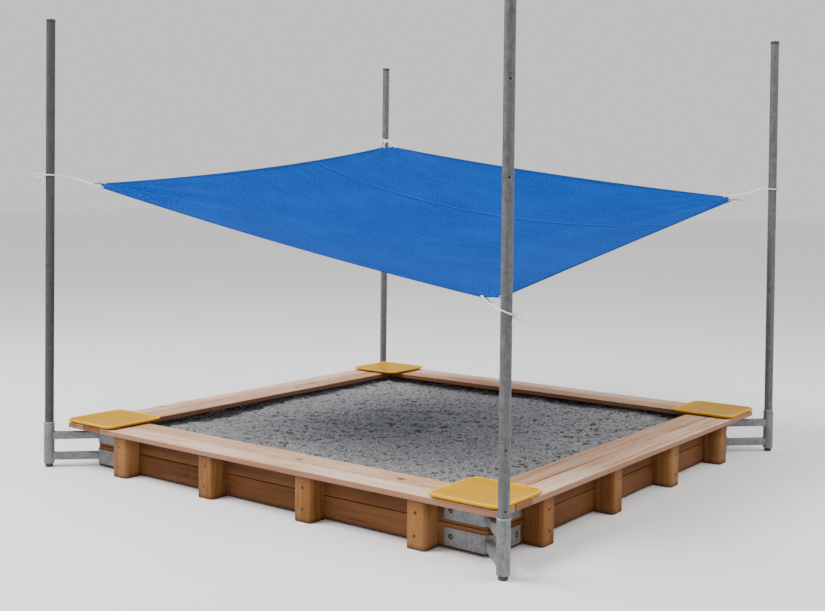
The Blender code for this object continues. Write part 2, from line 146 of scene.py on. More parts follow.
def grid_mesh(name, points, wrap=False, uv=None, caps=False):
    """A mesh of quads over a grid of points, rows by columns by three.

    Columns join the last to the first when wrap is true, and each end row gets one
    face over it when caps is true.  uv is a grid of pairs kept as the UV map.
    """
    rows, columns = points.shape[:2]
    number = np.arange(rows * columns).reshape(rows, columns)
    if wrap:
        number = np.hstack([number, number[:, :1]])
    corners = [number[:-1, :-1], number[:-1, 1:], number[1:, 1:], number[1:, :-1]]
    faces = np.stack(corners, axis=-1).reshape(-1, 4).tolist()
    if caps:
        faces += [number[0, :columns][::-1].tolist(), number[-1, :columns].tolist()]
    mesh = bpy.data.meshes.new(name)
    mesh.from_pydata(points.reshape(-1, 3), [], faces)
    if uv is not None:
        layer = mesh.uv_layers.new(name="UVMap")
        vertex = np.empty(len(mesh.loops), np.int32)
        mesh.loops.foreach_get("vertex_index", vertex)
        layer.data.foreach_set("uv", uv.reshape(-1, 2)[vertex].astype(np.float32).ravel())
    mesh.shade_smooth()
    return mesh


def put(name, mesh, material, body):
    """Link a finished mesh, its poles welded shut, as a piece that rides on a body."""
    weld = bmesh.new()
    weld.from_mesh(mesh)
    bmesh.ops.remove_doubles(weld, verts=weld.verts, dist=2e-6)
    weld.to_mesh(mesh)
    weld.free()
    obj = bpy.data.objects.new(name, mesh)
    bpy.context.scene.collection.objects.link(obj)
    mesh.materials.clear()
    mesh.materials.append(material)
    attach(obj, body)
    return obj


def rope_tube(name, line, thick=ROPE_THICK, sides=15):
    """Three strands laid up: round a line, the radius is full on each strand and dips between.

    radius = R (0.84 + 0.20 |cos(1.5 (angle - turn))|), and turn grows by one full
    circle in each lay of the rope.  Its UV map runs round and along the rope.
    """
    _, side, top, run = line_frames(line)
    angle = np.linspace(0, 2 * np.pi, sides, endpoint=False)[None, :]
    turn = 2 * np.pi * run[:, None] / ROPE_LAY
    radius = thick / 2 * (0.84 + 0.20 * np.abs(np.cos(1.5 * (angle - turn))))
    ends = np.clip(np.minimum(run, run[-1] - run) / (thick * 0.4), 0.35, 1)[:, None]
    radius = radius * ends
    ring = np.cos(angle)[..., None] * side[:, None] + np.sin(angle)[..., None] * top[:, None]
    points = line[:, None] + radius[..., None] * ring
    uv = np.stack(np.broadcast_arrays(angle / (2 * np.pi), run[:, None]), axis=-1)
    return grid_mesh(name, points, wrap=True, uv=uv, caps=True)


def new_material(name, roughness, metallic=0.0):
    """A material, its node tree and its Principled shader with plain numbers set."""
    material = bpy.data.materials.new(name)
    material.use_nodes = True
    tree = material.node_tree
    shader = tree.nodes["Principled BSDF"]
    shader.inputs["Roughness"].default_value = roughness
    shader.inputs["Metallic"].default_value = metallic
    return material, tree, shader


def painted(made, base, normal=None, gloss=None, specular=None):
    """The material, with its colour, normal and roughness linked and its specular level set."""
    material, tree, shader = made
    for name, value in (("Base Color", base), ("Normal", normal), ("Roughness", gloss)):
        if value is not None:
            tree.links.new(value, shader.inputs[name])
    if specular is not None:
        shader.inputs["Specular IOR Level"].default_value = specular
    return material


def node(tree, kind, settings=None, **inputs):
    """A shader node with its settings, and its inputs set or linked by name or number."""
    made = tree.nodes.new(kind)
    for key, value in (settings or {}).items():
        setattr(made, key, value)
    for key, value in inputs.items():
        place = int(key[1:]) if key[0] == "_" else key.replace("_", " ")
        socket = made.inputs[place]
        if isinstance(value, bpy.types.NodeSocket):
            tree.links.new(value, socket)
        else:
            socket.default_value = value
    return made


def ramp(tree, factor, *stops, smooth=False):
    """A colour ramp over a factor; each stop is (place, colour)."""
    made = tree.nodes.new("ShaderNodeValToRGB")
    made.color_ramp.interpolation = "EASE" if smooth else "LINEAR"
    elements = made.color_ramp.elements
    while len(elements) < len(stops):
        elements.new(0.5)
    for element, (place, colour) in zip(elements, stops):
        element.position = place
        value = colour if isinstance(colour, tuple) else (colour,) * 3
        element.color = (*value, 1.0)
    tree.links.new(factor, made.inputs[0])
    return made.outputs[0]


def mix(tree, factor, first, second):
    """Mix of two colours, either of which may be a socket."""
    made = tree.nodes.new("ShaderNodeMix")
    made.data_type = "RGBA"
    for place, value in ((0, factor), (6, first), (7, second)):
        if isinstance(value, bpy.types.NodeSocket):
            tree.links.new(value, made.inputs[place])
        else:
            made.inputs[place].default_value = (*value, 1.0) if isinstance(value, tuple) else value
    return made.outputs[2]


def tint(tree, base, colour, factor, *stops):
    """The base with a colour mixed in as far as a ramp over the factor says."""
    return mix(tree, ramp(tree, factor, *stops), base, colour)


def maths(tree, operation, first, second=0.0, third=0.0):
    """One sum on numbers, any of which may be a socket."""
    made = tree.nodes.new("ShaderNodeMath")
    made.operation = operation
    for place, value in enumerate((first, second, third)):
        if isinstance(value, bpy.types.NodeSocket):
            tree.links.new(value, made.inputs[place])
        else:
            made.inputs[place].default_value = value
    return made.outputs[0]


def noise(tree, vector, scale, detail=4.0, rough=0.55):
    """Fractal noise between about 0.2 and 0.8."""
    return node(tree, "ShaderNodeTexNoise", Vector=vector, Scale=scale, Detail=detail,
                Roughness=rough).outputs[0]


def stretched(tree, vector, scale, turn=(0, 0, 0)):
    """A vector turned and then scaled along each axis."""
    return node(tree, "ShaderNodeMapping", Vector=vector, Rotation=turn, Scale=scale).outputs[0]


def red_of(tree, colour):
    """A colour's red part, which on a cell pattern is a random number for each cell."""
    return node(tree, "ShaderNodeSeparateColor", _0=colour).outputs[0]


def bump(tree, height, strength, distance, below=None):
    """A normal from a height, over another normal if given."""
    made = node(tree, "ShaderNodeBump", Height=height, Strength=strength, Distance=distance)
    if below is not None:
        tree.links.new(below, made.inputs["Normal"])
    return made.outputs[0]


def object_place(tree):
    """Object coordinates, in metres."""
    return tree.nodes.new("ShaderNodeTexCoord").outputs["Object"]


def uv_place(tree):
    """The piece's own UV map, in metres along the cloth or the cord."""
    return tree.nodes.new("ShaderNodeTexCoord").outputs["UV"]


def object_height(tree):
    """Height over the ground, in metres."""
    return node(tree, "ShaderNodeSeparateXYZ", Vector=object_place(tree)).outputs[2]


def rope_material():
    """White polyester: fine yarns along each strand, a little grey in the grooves."""
    made = _, tree, shader = new_material("white rope", 0.75)
    yarn = noise(tree, stretched(tree, uv_place(tree), (60.0, 900.0, 1.0)), 1.0, 3.0)
    stain = noise(tree, object_place(tree), 25.0, 3.0)
    base = ramp(tree, yarn, (0.3, (0.62, 0.62, 0.60)), (0.7, (0.86, 0.86, 0.84)))
    base = tint(tree, base, (0.45, 0.44, 0.41), stain, (0.5, 0.0), (0.8, 0.35))
    shader.inputs["Sheen Weight"].default_value = 0.2
    return painted(made, base, bump(tree, yarn, 0.5, 0.0006))


ROPE = rope_material()
SAIL_TIP = MAST_AXIS - SAIL_TO_MAST
SAIL_INSET = 0.080           # how far an edge curves in at its middle
EDGE_SAG = {"front": 0.040, "back": 0.020, "left": 0.032, "right": 0.031}
MIDDLE_SAG = 0.128
EYELET_IN = 0.020            # from the cut edge of the sail to the eyelet's middle
TIE_SLOPE = {"front_left": 0.10, "front_right": -0.40, "back_right": 0.15, "back_left": 0.05}
around = MAST_RADIUS + ROPE_THICK / 2 + 0.0011
sail_edge = (SAIL_TO_MAST + SAIL_CUT / 2) * np.sqrt(2)
eyelet_side = SAIL_CUT / np.sqrt(2) - 0.0045


def sail_point(across, along):
    """Place on the sail for 0..1 from left to right and 0..1 from front to back.

    With bow = 4 t (1 - t) for each of the two: each edge curves in by the inset times
    the other's bow, and the height is the four tips' bilinear blend less the edges'
    sag and the middle's sag, each times its bow.
    """
    bow_x, bow_y = 4 * across * (1 - across), 4 * along * (1 - along)
    x = (2 * across - 1) * (SAIL_TIP - SAIL_INSET * bow_y)
    y = (2 * along - 1) * (SAIL_TIP - SAIL_INSET * bow_x)
    front = (1 - across) * TIP_HEIGHT["front_left"] + across * TIP_HEIGHT["front_right"]
    back = (1 - across) * TIP_HEIGHT["back_left"] + across * TIP_HEIGHT["back_right"]
    sag = bow_x * ((1 - along) * EDGE_SAG["front"] + along * EDGE_SAG["back"])
    sag = sag + bow_y * ((1 - across) * EDGE_SAG["left"] + across * EDGE_SAG["right"])
    return x, y, (1 - along) * front + along * back - sag - bow_x * bow_y * MIDDLE_SAG


def sail_height(x, y):
    """Height of the sail at a place: across and along are found by repeated correction."""
    across, along = (x / SAIL_TIP + 1) / 2, (y / SAIL_TIP + 1) / 2
    for _ in range(8):
        bow_x, bow_y = 4 * across * (1 - across), 4 * along * (1 - along)
        across = (x / (SAIL_TIP - SAIL_INSET * bow_y) + 1) / 2
        along = (y / (SAIL_TIP - SAIL_INSET * bow_x) + 1) / 2
    return sail_point(across, along)[2]


def tie_route(corner):
    """Up through an eyelet, to the knot, round the mast's far side, and back to the other."""
    tie, tip = TIE_HEIGHT[corner], TIP_HEIGHT[corner]
    eyelet = sail_edge + EYELET_IN
    inward = [eyelet + 0.001, eyelet, eyelet - 0.008, sail_edge - 0.004]
    sideways = [eyelet_side - 0.004] * 2 + [eyelet_side - 0.003, eyelet_side - 0.001]
    place = corner_place(corner, np.array(inward), np.array(sideways), 0.0)
    height = sail_height(place[:, 0], place[:, 1]) + (-0.012, 0.0, 0.0065, 0.0050)
    span = sail_edge - KNOT_REACH
    inward += [KNOT_REACH + 0.51 * span, KNOT_REACH + 0.19 * span, KNOT_REACH]
    sideways += [0.53 * eyelet_side, 0.0098, 0.0045]
    height = np.concatenate([height, [tie + (tip - tie) * 0.50, tie + (tip - tie) * 0.12, tie]])
    leave = np.degrees(np.arccos(around / KNOT_REACH)) + 5
    turns = np.radians(np.linspace(leave, 360 - leave, 21))
    lean = tie + TIE_SLOPE[corner] * around * np.sin(turns)
    height = np.concatenate([height, lean, height[::-1]])
    inward = np.concatenate([inward, around * np.cos(turns), inward[::-1]])
    sideways = np.concatenate([sideways, around * np.sin(turns), -np.array(sideways[::-1])])
    return flowing_line(corner_place(corner, inward, sideways, height), ROPE_STEP)


def knot_mesh(name, middle, size):
    """A knot as a closed trefoil tube round its middle.

    x = sin t + 2 sin 2t, y = -1.4 sin 3t, z = cos t - 2 cos 2t, all times a third of the
    size, with the laid strands of the rope round it.
    """
    t = np.linspace(0, 2 * np.pi, 145)[:, None]
    across, up = np.sin(t) + 2 * np.sin(2 * t), np.cos(t) - 2 * np.cos(2 * t)
    line = np.hstack([across, -1.4 * np.sin(3 * t), up])
    return rope_tube(name, middle + line * size / 3, BOW_THICK)


# Each tie's knot, and the bow's loop and tail, as (inward, sideways, height over the tie).
KNOTS = {
    "front_left": (-0.036, 0.004, -0.002),
    "back_right": (-0.036, -0.004, -0.002),
    "back_left": (0.050, 0.0, -0.002),
    "front_right": (-0.020, 0.030, -0.012),
}
BOWS = {
    "front_left": [
        (-0.040, 0.004, 0.002), (-0.058, 0.014, 0.010), (-0.080, 0.012, 0.008), (-0.088, 0.000, 0.000),
        (-0.076, -0.010, -0.008), (-0.056, -0.008, -0.008), (-0.040, 0.000, -0.004), (-0.030, 0.012, -0.014),
        (-0.034, 0.020, -0.032), (-0.038, 0.024, -0.052),
    ],
    "back_right": [
        (-0.040, -0.004, 0.002), (-0.056, -0.014, 0.012), (-0.076, -0.012, 0.014), (-0.086, 0.000, 0.004),
        (-0.076, 0.010, -0.008), (-0.056, 0.008, -0.008), (-0.040, 0.000, -0.004), (-0.030, -0.014, -0.010),
        (-0.022, -0.030, -0.018), (-0.012, -0.042, -0.032),
    ],
    "back_left": [
        (0.052, 0.004, 0.002), (0.048, 0.020, 0.010), (0.046, 0.040, 0.008), (0.048, 0.050, -0.004),
        (0.052, 0.040, -0.016), (0.054, 0.020, -0.012), (0.052, 0.000, -0.002), (0.050, -0.020, 0.008),
        (0.048, -0.038, 0.006), (0.048, -0.046, -0.008), (0.052, -0.034, -0.018), (0.056, -0.016, -0.014),
    ],
    "front_right": [
        (-0.022, 0.030, -0.010), (-0.020, 0.046, -0.006), (-0.014, 0.062, -0.012), (-0.006, 0.066, -0.024),
        (-0.006, 0.054, -0.034), (-0.012, 0.040, -0.026), (-0.022, 0.030, -0.018), (-0.032, 0.020, -0.026),
        (-0.036, 0.018, -0.046), (-0.034, 0.022, -0.068),
    ],
}

for corner in CORNERS:
    line, tie = tie_route(corner), TIE_HEIGHT[corner]
    rope = put(f"tie_{corner}", rope_tube("tie", line), ROPE, "cover")
    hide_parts(f"rope_{corner}")
    inward, sideways, over = KNOTS[corner]
    middle = corner_place(corner, inward, sideways, tie + over)
    knot = put(f"knot_{corner}", knot_mesh("knot", middle, KNOT_SIZE), ROPE, "cover")
    inward, sideways, over = np.array(BOWS[corner]).T
    line = flowing_line(corner_place(corner, inward, sideways, tie + over), ROPE_STEP)
    loop = put(f"bow_{corner}", rope_tube("bow", line, BOW_THICK), ROPE, "cover")

# ================================================================ sail
# A knitted shade net, 2.68 m square and cut in at each edge, with a doubled hem, a flat
# seam across it and a sewn patch at each corner.  It is held stretched by its four ropes
# and sags in the middle.

SAIL_ROWS = 150
HEM = 0.032
PATCH = 0.190                # from an uncut tip to the edge of its patch, on the diagonal
SAIL_THICK = 0.0016
SEAM_START, SEAM_END = 0.658, 0.717      # shares of the way back, at the left and the right
SEAM_WIDTH, SEAM_THICK = 0.016, 0.0014
NAVY = (0.0, 0.012, 0.085)               # doubled cloth and shaded stitching
# At each tip: its place, how many waves run round it, and their height.
CREASES = (
    (0, 0, 6, 0.0130),
    (1, 0, 7, 0.0060),
    (1, 1, 8, 0.0065),
    (0, 1, 7, 0.0065),
)


def sail_folds(across, along):
    """Small heights of creases and slack over the sail.

    Creases run out from each tip: a wave round the tip, times a falling curve of the
    distance from it.  Two long shallow waves cross the middle.
    """
    height = 0.0040 * np.sin(7 * across + 3 * along) * np.sin(5.0 * along + 1.0)
    for tip_x, tip_y, waves, size in CREASES:
        dx, dy = np.abs(across - tip_x), np.abs(along - tip_y)
        far = np.hypot(dx, dy)
        angle = np.arctan2(dy, dx)
        fall = np.exp(-((far - 0.10) / 0.19) ** 2) * np.clip(far / 0.06, 0, 1)
        height = height + size * np.cos(waves * 2 * angle + 1.3 * tip_x + 2.1 * tip_y) * fall
    return height


def sail_sheet():
    """The cloth on a grid, with its tips cut off along a line square to each diagonal.

    Each row starts in from the side by the cut's leg less the row's distance from the
    nearer end, and no less than nothing.  The hem, the patches and the seam stand up by
    a cloth's thickness, with a soft step at their edges.
    """
    cut = SAIL_CUT / (2 * SAIL_TIP)
    inner = np.linspace(cut, 1 - cut, SAIL_ROWS)
    lines = np.concatenate([np.linspace(0, cut, 7)[:-1], inner, np.linspace(1 - cut, 1, 7)[1:]])
    along = np.repeat(lines[:, None], len(lines), axis=1)
    start = np.clip(cut - np.minimum(along, 1 - along), 0, None)
    across = start + lines[None, :] * (1 - 2 * start)
    x, y, z = sail_point(across, along)
    width = 2 * SAIL_TIP
    edge = np.minimum(np.minimum(across, 1 - across), np.minimum(along, 1 - along)) * width
    tip = (np.minimum(across, 1 - across) + np.minimum(along, 1 - along)) * width / np.sqrt(2)
    seam = np.abs(along - (SEAM_START + (SEAM_END - SEAM_START) * across)) * width
    raised = np.maximum(soft_step(HEM, edge), soft_step(PATCH, tip)) * SAIL_THICK
    raised = np.maximum(raised, soft_step(SEAM_WIDTH, seam) * SEAM_THICK)
    z = z + sail_folds(across, along) * np.clip(edge / 0.10, 0, 1) + raised
    uv = np.stack([across * width, along * width], axis=-1)
    return grid_mesh("sail_net", np.stack([x, y, z], axis=-1), uv=uv)


def soft_step(limit, value, soft=0.004):
    """1 below a limit and 0 above it, with a smooth change as wide as soft."""
    t = np.clip((limit - value) / soft + 0.5, 0, 1)
    return t * t * (3 - 2 * t)


def net_material():
    """Knitted blue net: a fine rib one way and a looser lay the other, slightly mottled.

    The seam's dark row of painted shadow, its pale row of painted highlight, and the hem are
    bands of distance from the seam's line and from the nearest edge, each taken twenty times over.
    """
    made = _, tree, _ = new_material("blue shade net", 0.78)
    uv = uv_place(tree)
    rib = node(tree, "ShaderNodeTexWave", {"bands_direction": "X"}, Vector=uv,
               Scale=55.0, Distortion=1.2, Detail=2.0, Detail_Scale=3.0).outputs[1]
    lay = node(tree, "ShaderNodeTexWave", {"bands_direction": "Y"}, Vector=uv,
               Scale=80.0, Distortion=2.0, Detail=2.0, Detail_Scale=2.0).outputs[1]
    streak = noise(tree, stretched(tree, uv, (3.0, 34.0, 1.0)), 1.0, 6.0, 0.65)
    patch = noise(tree, uv, 2.2, 5.0, 0.6)
    fine = noise(tree, stretched(tree, uv, (70.0, 120.0, 1.0)), 1.0, 6.0, 0.90)
    weave = maths(tree, "MULTIPLY", rib, lay)
    base = ramp(tree, fine, (0.40, (0.0, 0.010, 0.085)), (0.50, (0.0, 0.046, 0.275)),
                (0.60, (0.002, 0.105, 0.50)))
    base = tint(tree, base, (0.0, 0.030, 0.20), streak, (0.42, 0.0), (0.66, 0.60))
    base = tint(tree, base, (0.001, 0.075, 0.40), patch, (0.45, 0.0), (0.70, 0.35))
    base = mix(tree, maths(tree, "MULTIPLY", weave, 0.35), base, (0.0, 0.020, 0.13))
    split = node(tree, "ShaderNodeSeparateXYZ", Vector=uv)
    width = 2 * SAIL_TIP
    rise = maths(tree, "MULTIPLY_ADD", split.outputs[0], SEAM_START - SEAM_END, -SEAM_START * width)
    seam = maths(tree, "ADD", split.outputs[1], rise)
    seam = maths(tree, "MULTIPLY_ADD", seam, 20.0, 0.5)
    # A dark row along one side of the seam is a painted shadow; the paler row along the other side is a
    # painted highlight.
    base = tint(tree, base, NAVY, seam, (0.26, 0.0), (0.31, 0.95), (0.45, 0.95), (0.49, 0.0))
    base = tint(tree, base, (0.010, 0.16, 0.60), seam, (0.56, 0.0), (0.62, 0.5), (0.68, 0.5), (0.74, 0.0))
    gap = [maths(tree, "MINIMUM", side, maths(tree, "SUBTRACT", width, side))
           for side in split.outputs[:2]]
    edge = maths(tree, "MULTIPLY", maths(tree, "MINIMUM", *gap), 20.0)
    base = tint(tree, base, NAVY, edge, (0.0, 0.85), (0.10, 0.80), (0.16, 0.28), (0.58, 0.28),
                (0.62, 0.70), (0.67, 0.0))
    height = maths(tree, "ADD", weave, maths(tree, "MULTIPLY", fine, 0.25))
    return painted(made, base, bump(tree, height, 0.45, 0.0010), specular=0.06)


sail = put("sail_net", sail_sheet(), net_material(), "cover")
thickness = sail.modifiers.new("thickness", "SOLIDIFY")
thickness.thickness = SAIL_THICK
thickness.offset = 0.0
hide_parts("sail")

# ================================================================ sail's eyelets and straps
# Two steel eyelets pressed through each corner patch, a doubled strap of black webbing
# between them, and rows of pale blue stitches that hold the patch and the strap.


def joined(name, parts):
    """One mesh from several."""
    made = bpy.data.meshes.new(name)
    points, faces, start = [], [], 0
    for part in parts:
        place = np.empty(len(part.vertices) * 3, np.float32)
        part.vertices.foreach_get("co", place)
        points.append(place.reshape(-1, 3))
        faces += [[corner + start for corner in face.vertices] for face in part.polygons]
        start += len(part.vertices)
        bpy.data.meshes.remove(part)
    made.from_pydata(np.vstack(points), [], faces)
    made.shade_smooth()
    return made


def turned_mesh(name, profile, middle, along=(0, 0, 1), sides=32):
    """A profile of (radius, place along the axis) turned round an axis through middle.

    The profile runs from the far end of the outside to the near end, so faces point out,
    and it starts and ends on the axis or at one and the same point.
    """
    profile = np.asarray(profile, float)
    along = np.asarray(along, float) / np.linalg.norm(along)
    side = np.cross(along, (0.31, 0.95, 0.05) if abs(along[2]) > 0.5 else (0, 0, 1))
    side /= np.linalg.norm(side)
    top = np.cross(along, side)
    angle = np.linspace(0, 2 * np.pi, sides, endpoint=False)
    ring = np.cos(angle)[:, None] * side + np.sin(angle)[:, None] * top
    radius, place = profile[:, 0, None, None], profile[:, 1, None, None]
    return grid_mesh(name, (np.asarray(middle) + radius * ring + place * along)[::-1], wrap=True)


def rounded(points, radius, steps=5):
    """An open profile with each inner corner replaced by an arc-like curve.

    Each corner becomes a quadratic curve from radius before it to radius after it.
    """
    points = np.asarray(points, float)
    made = [points[:1]]
    t = np.linspace(0, 1, steps)[:, None]
    for before, corner, after in zip(points, points[1:], points[2:]):
        back, on = before - corner, after - corner
        reach = min(radius, np.linalg.norm(back) * 0.45, np.linalg.norm(on) * 0.45)
        start = corner + back / np.linalg.norm(back) * reach
        end = corner + on / np.linalg.norm(on) * reach
        made.append((1 - t) ** 2 * start + 2 * t * (1 - t) * corner + t ** 2 * end)
    made.append(points[-1:])
    return np.vstack(made)


def ring_mesh(name, middle, normal, radius, thick, sides=28, around_steps=12):
    """A torus: a circle of thick / 2 carried round a circle of the radius."""
    a = np.linspace(0, 2 * np.pi, around_steps, endpoint=False)
    profile = np.column_stack([radius + thick / 2 * np.cos(a), thick / 2 * np.sin(a)])
    profile = np.vstack([profile, profile[:1]])[::-1]
    return turned_mesh(name, profile, middle, normal, sides)


def metal_material(name, colour, roughness, metallic, spangle, blotch, rim=None):
    """Hot-dip galvanised steel: crystal flakes of slightly different grey, dull white
    blotches and runs, and fine specks.  Above the height of the rim it is painted pale, a painted highlight."""
    made = _, tree, _ = new_material(name, roughness, metallic)
    place = object_place(tree)
    flakes = node(tree, "ShaderNodeTexVoronoi", Vector=place, Scale=spangle)
    cloud = noise(tree, place, blotch, 6.0, 0.65)
    fine = noise(tree, place, 420.0, 3.0, 0.6)
    dark = tuple(c * 0.55 for c in colour)
    light = tuple(min(1.0, c * 1.6) for c in colour)
    flake = maths(tree, "MULTIPLY_ADD", red_of(tree, flakes.outputs[1]), 0.35, 0.325)
    base = ramp(tree, flake, (0.0, dark), (0.5, colour), (1.0, light))
    base = tint(tree, base, light, cloud, (0.50, 0.0), (0.68, 0.75))
    base = tint(tree, base, dark, cloud, (0.30, 0.80), (0.46, 0.0))
    base = tint(tree, base, dark, fine, (0.30, 0.45), (0.52, 0.0))
    run = noise(tree, stretched(tree, place, (150.0, 150.0, 9.0)), 1.0, 4.0, 0.6)
    base = tint(tree, base, light, run, (0.50, 0.0), (0.66, 0.35))
    base = tint(tree, base, dark, run, (0.36, 0.35), (0.48, 0.0))
    # Above the rim's height the steel is mixed pale: a painted highlight on the socket's top edge.
    if rim:
        wear_and_highlight = maths(tree, "GREATER_THAN", object_height(tree), rim)
        base = mix(tree, maths(tree, "MULTIPLY", wear_and_highlight, 0.8), base, (0.62, 0.62, 0.61))
    gloss = maths(tree, "MULTIPLY_ADD", cloud, 0.30, roughness - 0.12)
    height = maths(tree, "ADD", maths(tree, "MULTIPLY", cloud, 2.0), fine)
    return painted(made, base, bump(tree, height, 0.22, 0.0008), gloss)


EYELET = metal_material("eyelet metal", (0.55, 0.55, 0.53), 0.32, 0.9, 400.0, 60.0)


def strap_material():
    """Black webbing: ribs across the strap, with dusty high spots."""
    made = _, tree, _ = new_material("black webbing", 0.8)
    uv = uv_place(tree)
    rib = node(tree, "ShaderNodeTexWave", {"bands_direction": "X"}, Vector=uv, Scale=180.0,
               Distortion=0.6).outputs[1]
    dust = noise(tree, uv, 90.0, 4.0)
    base = ramp(tree, dust, (0.35, (0.010, 0.010, 0.011)), (0.75, (0.045, 0.045, 0.047)))
    return painted(made, base, bump(tree, rib, 0.6, 0.0008))


def thread_material():
    """Pale blue sewing thread."""
    made = _, tree, _ = new_material("sewing thread", 0.7)
    shade = noise(tree, object_place(tree), 700.0, 2.0)
    return painted(made, ramp(tree, shade, (0.3, (0.06, 0.16, 0.42)), (0.7, (0.16, 0.30, 0.62))))


WEBBING = strap_material()
THREAD = thread_material()
STRAP_WIDTH = 0.010
STRAP_INNER, STRAP_OUTER = 0.022, 0.052  # how far it reaches in and out from the cut edge
EYELET_RADIUS, EYELET_THICK = 0.0078, 0.0036
EYELET_SPACE = 0.0042        # between the ring above the cloth and the one below
THREAD_RADIUS = 0.0005
# Rows of stitches: start and end as (from the cut edge, sideways), how many, and lift.
STITCH_ROWS = (
    ((0.006, 0.010), (0.080, 0.010), 14, 0.0049),
    ((0.006, 0.050), (0.082, 0.118), 16, 0.0032),
    ((0.088, 0.0), (0.088, 0.118), 16, 0.0032),
)


def on_sail(corner, inward, sideways, lift=0.0):
    """Points lying on the sail, given from the mast's axis as for the ropes."""
    inward, sideways = np.broadcast_arrays(np.asarray(inward, float), np.asarray(sideways, float))
    place = corner_place(corner, inward, sideways, np.zeros_like(inward))
    place[..., 2] = sail_height(place[..., 0], place[..., 1]) + lift
    return place


def sail_normal(corner, inward, sideways):
    """The sail's upward normal, from two short steps on it."""
    steps = ((0, 0), (0.002, 0), (0, 0.002))
    here, along, across = (on_sail(corner, inward + a, sideways + b) for a, b in steps)
    normal = np.cross(along - here, across - here)
    return normal * np.sign(normal[2]) / np.linalg.norm(normal)


def strap_mesh(corner):
    """A doubled webbing strap along the diagonal: over the cloth, out past the cut edge
    and back as a flat end loop.  Its section is a thin rounded bar."""
    inward = np.linspace(sail_edge - STRAP_OUTER, sail_edge + STRAP_INNER, 30)
    fold = np.clip((sail_edge - inward) / STRAP_OUTER, 0, 1)
    lift = 0.0030 - 0.010 * fold ** 1.5 + 0.0012 * np.sin(40 * fold) * fold
    offset = np.array([(-1, 0), (-0.96, 1), (0.96, 1), (1, 0), (0.96, -1), (-0.96, -1)])
    middle = -0.037 + 0.016 * fold[:, None]
    points = on_sail(corner, inward[:, None], middle + offset[:, 0] * STRAP_WIDTH / 2, lift[:, None])
    points[..., 2] += offset[:, 1] * 0.0011
    uv = np.stack(np.broadcast_arrays(inward[:, None], offset[None, :, 0] * 0.0125), axis=-1)
    return grid_mesh("strap", points, wrap=True, uv=uv, caps=True)


def stitch_line(corner, start, end, count, lift):
    """A row of short thread stitches on the sail from start to end, each a low arch.

    Along each stitch the height is sin of its run times a thread's thickness.
    """
    t = np.linspace(0, 1, 6)
    parts = []
    for first in np.linspace(0, 1, count, endpoint=False):
        share = first + t * 0.62 / count
        inward = start[0] + (end[0] - start[0]) * share
        sideways = start[1] + (end[1] - start[1]) * share
        line = on_sail(corner, inward, sideways, lift + 0.0007 * np.sin(np.pi * t))
        _, side, top, _ = line_frames(line)
        angle = np.linspace(0, 2 * np.pi, 5, endpoint=False)
        ring = np.cos(angle)[:, None] * side[:, None] + np.sin(angle)[:, None] * top[:, None]
        parts.append(grid_mesh("stitch", line[:, None] + THREAD_RADIUS * ring, wrap=True, caps=True))
    return parts


for corner in CORNERS:
    rings, stitches = [], []
    for way in (-1, 1):
        inward, sideways = sail_edge + EYELET_IN, way * (eyelet_side - 0.004)
        middle, normal = on_sail(corner, inward, sideways, 0.0030), sail_normal(corner, inward, sideways)
        for place in (middle, middle - normal * EYELET_SPACE):
            rings.append(ring_mesh("eyelet", place, normal, EYELET_RADIUS, EYELET_THICK))
        for start, end, count, lift in STITCH_ROWS:
            ends = [(sail_edge + inward, way * sideways) for inward, sideways in (start, end)]
            stitches += stitch_line(corner, *ends, count, lift)
    put(f"sail_eyelets_{corner}", joined("eyelets", rings), EYELET, "cover")
    put(f"sail_strap_{corner}", strap_mesh(corner), WEBBING, "cover")
    put(f"sail_stitches_{corner}", joined("stitches", stitches), THREAD, "cover")

# ================================================================ masts
# Galvanised tube, 48.3 mm outside with a 2.6 mm wall, drilled through at five heights.
# A black cap is pushed into the top and a dark plug into the foot.

MAST_TOP, MAST_FOOT, MAST_WALL = 2.442, 0.0203, 0.0026
MAST_HOLES = (0.277, 0.521, 1.070, 1.601, 1.989)
HOLE_RADIUS = 0.0045
CAP_RADIUS, CAP_RISE = 0.0248, 0.018
STEM_RADIUS, STEM_LENGTH = 0.0210, 0.035
FOOT_HEIGHT = 0.020
MAST = metal_material("galvanised mast", (0.105, 0.106, 0.108), 0.50, 0.30, 160.0, 30.0)
OLD_MAST = metal_material("darker galvanised mast", (0.055, 0.056, 0.058), 0.55, 0.25, 160.0, 30.0)


def plug_material():
    """Moulded black plastic with a fine grain, a little grey where it is rubbed."""
    made = _, tree, _ = new_material("black plug", 0.5)
    place = object_place(tree)
    grain, wear_and_highlight = noise(tree, place, 600.0, 3.0), noise(tree, place, 40.0, 5.0)
    base = ramp(tree, wear_and_highlight, (0.40, (0.012, 0.012, 0.013)), (0.75, (0.050, 0.050, 0.052)))
    return painted(made, base, bump(tree, grain, 0.3, 0.0004))


PLUG = plug_material()


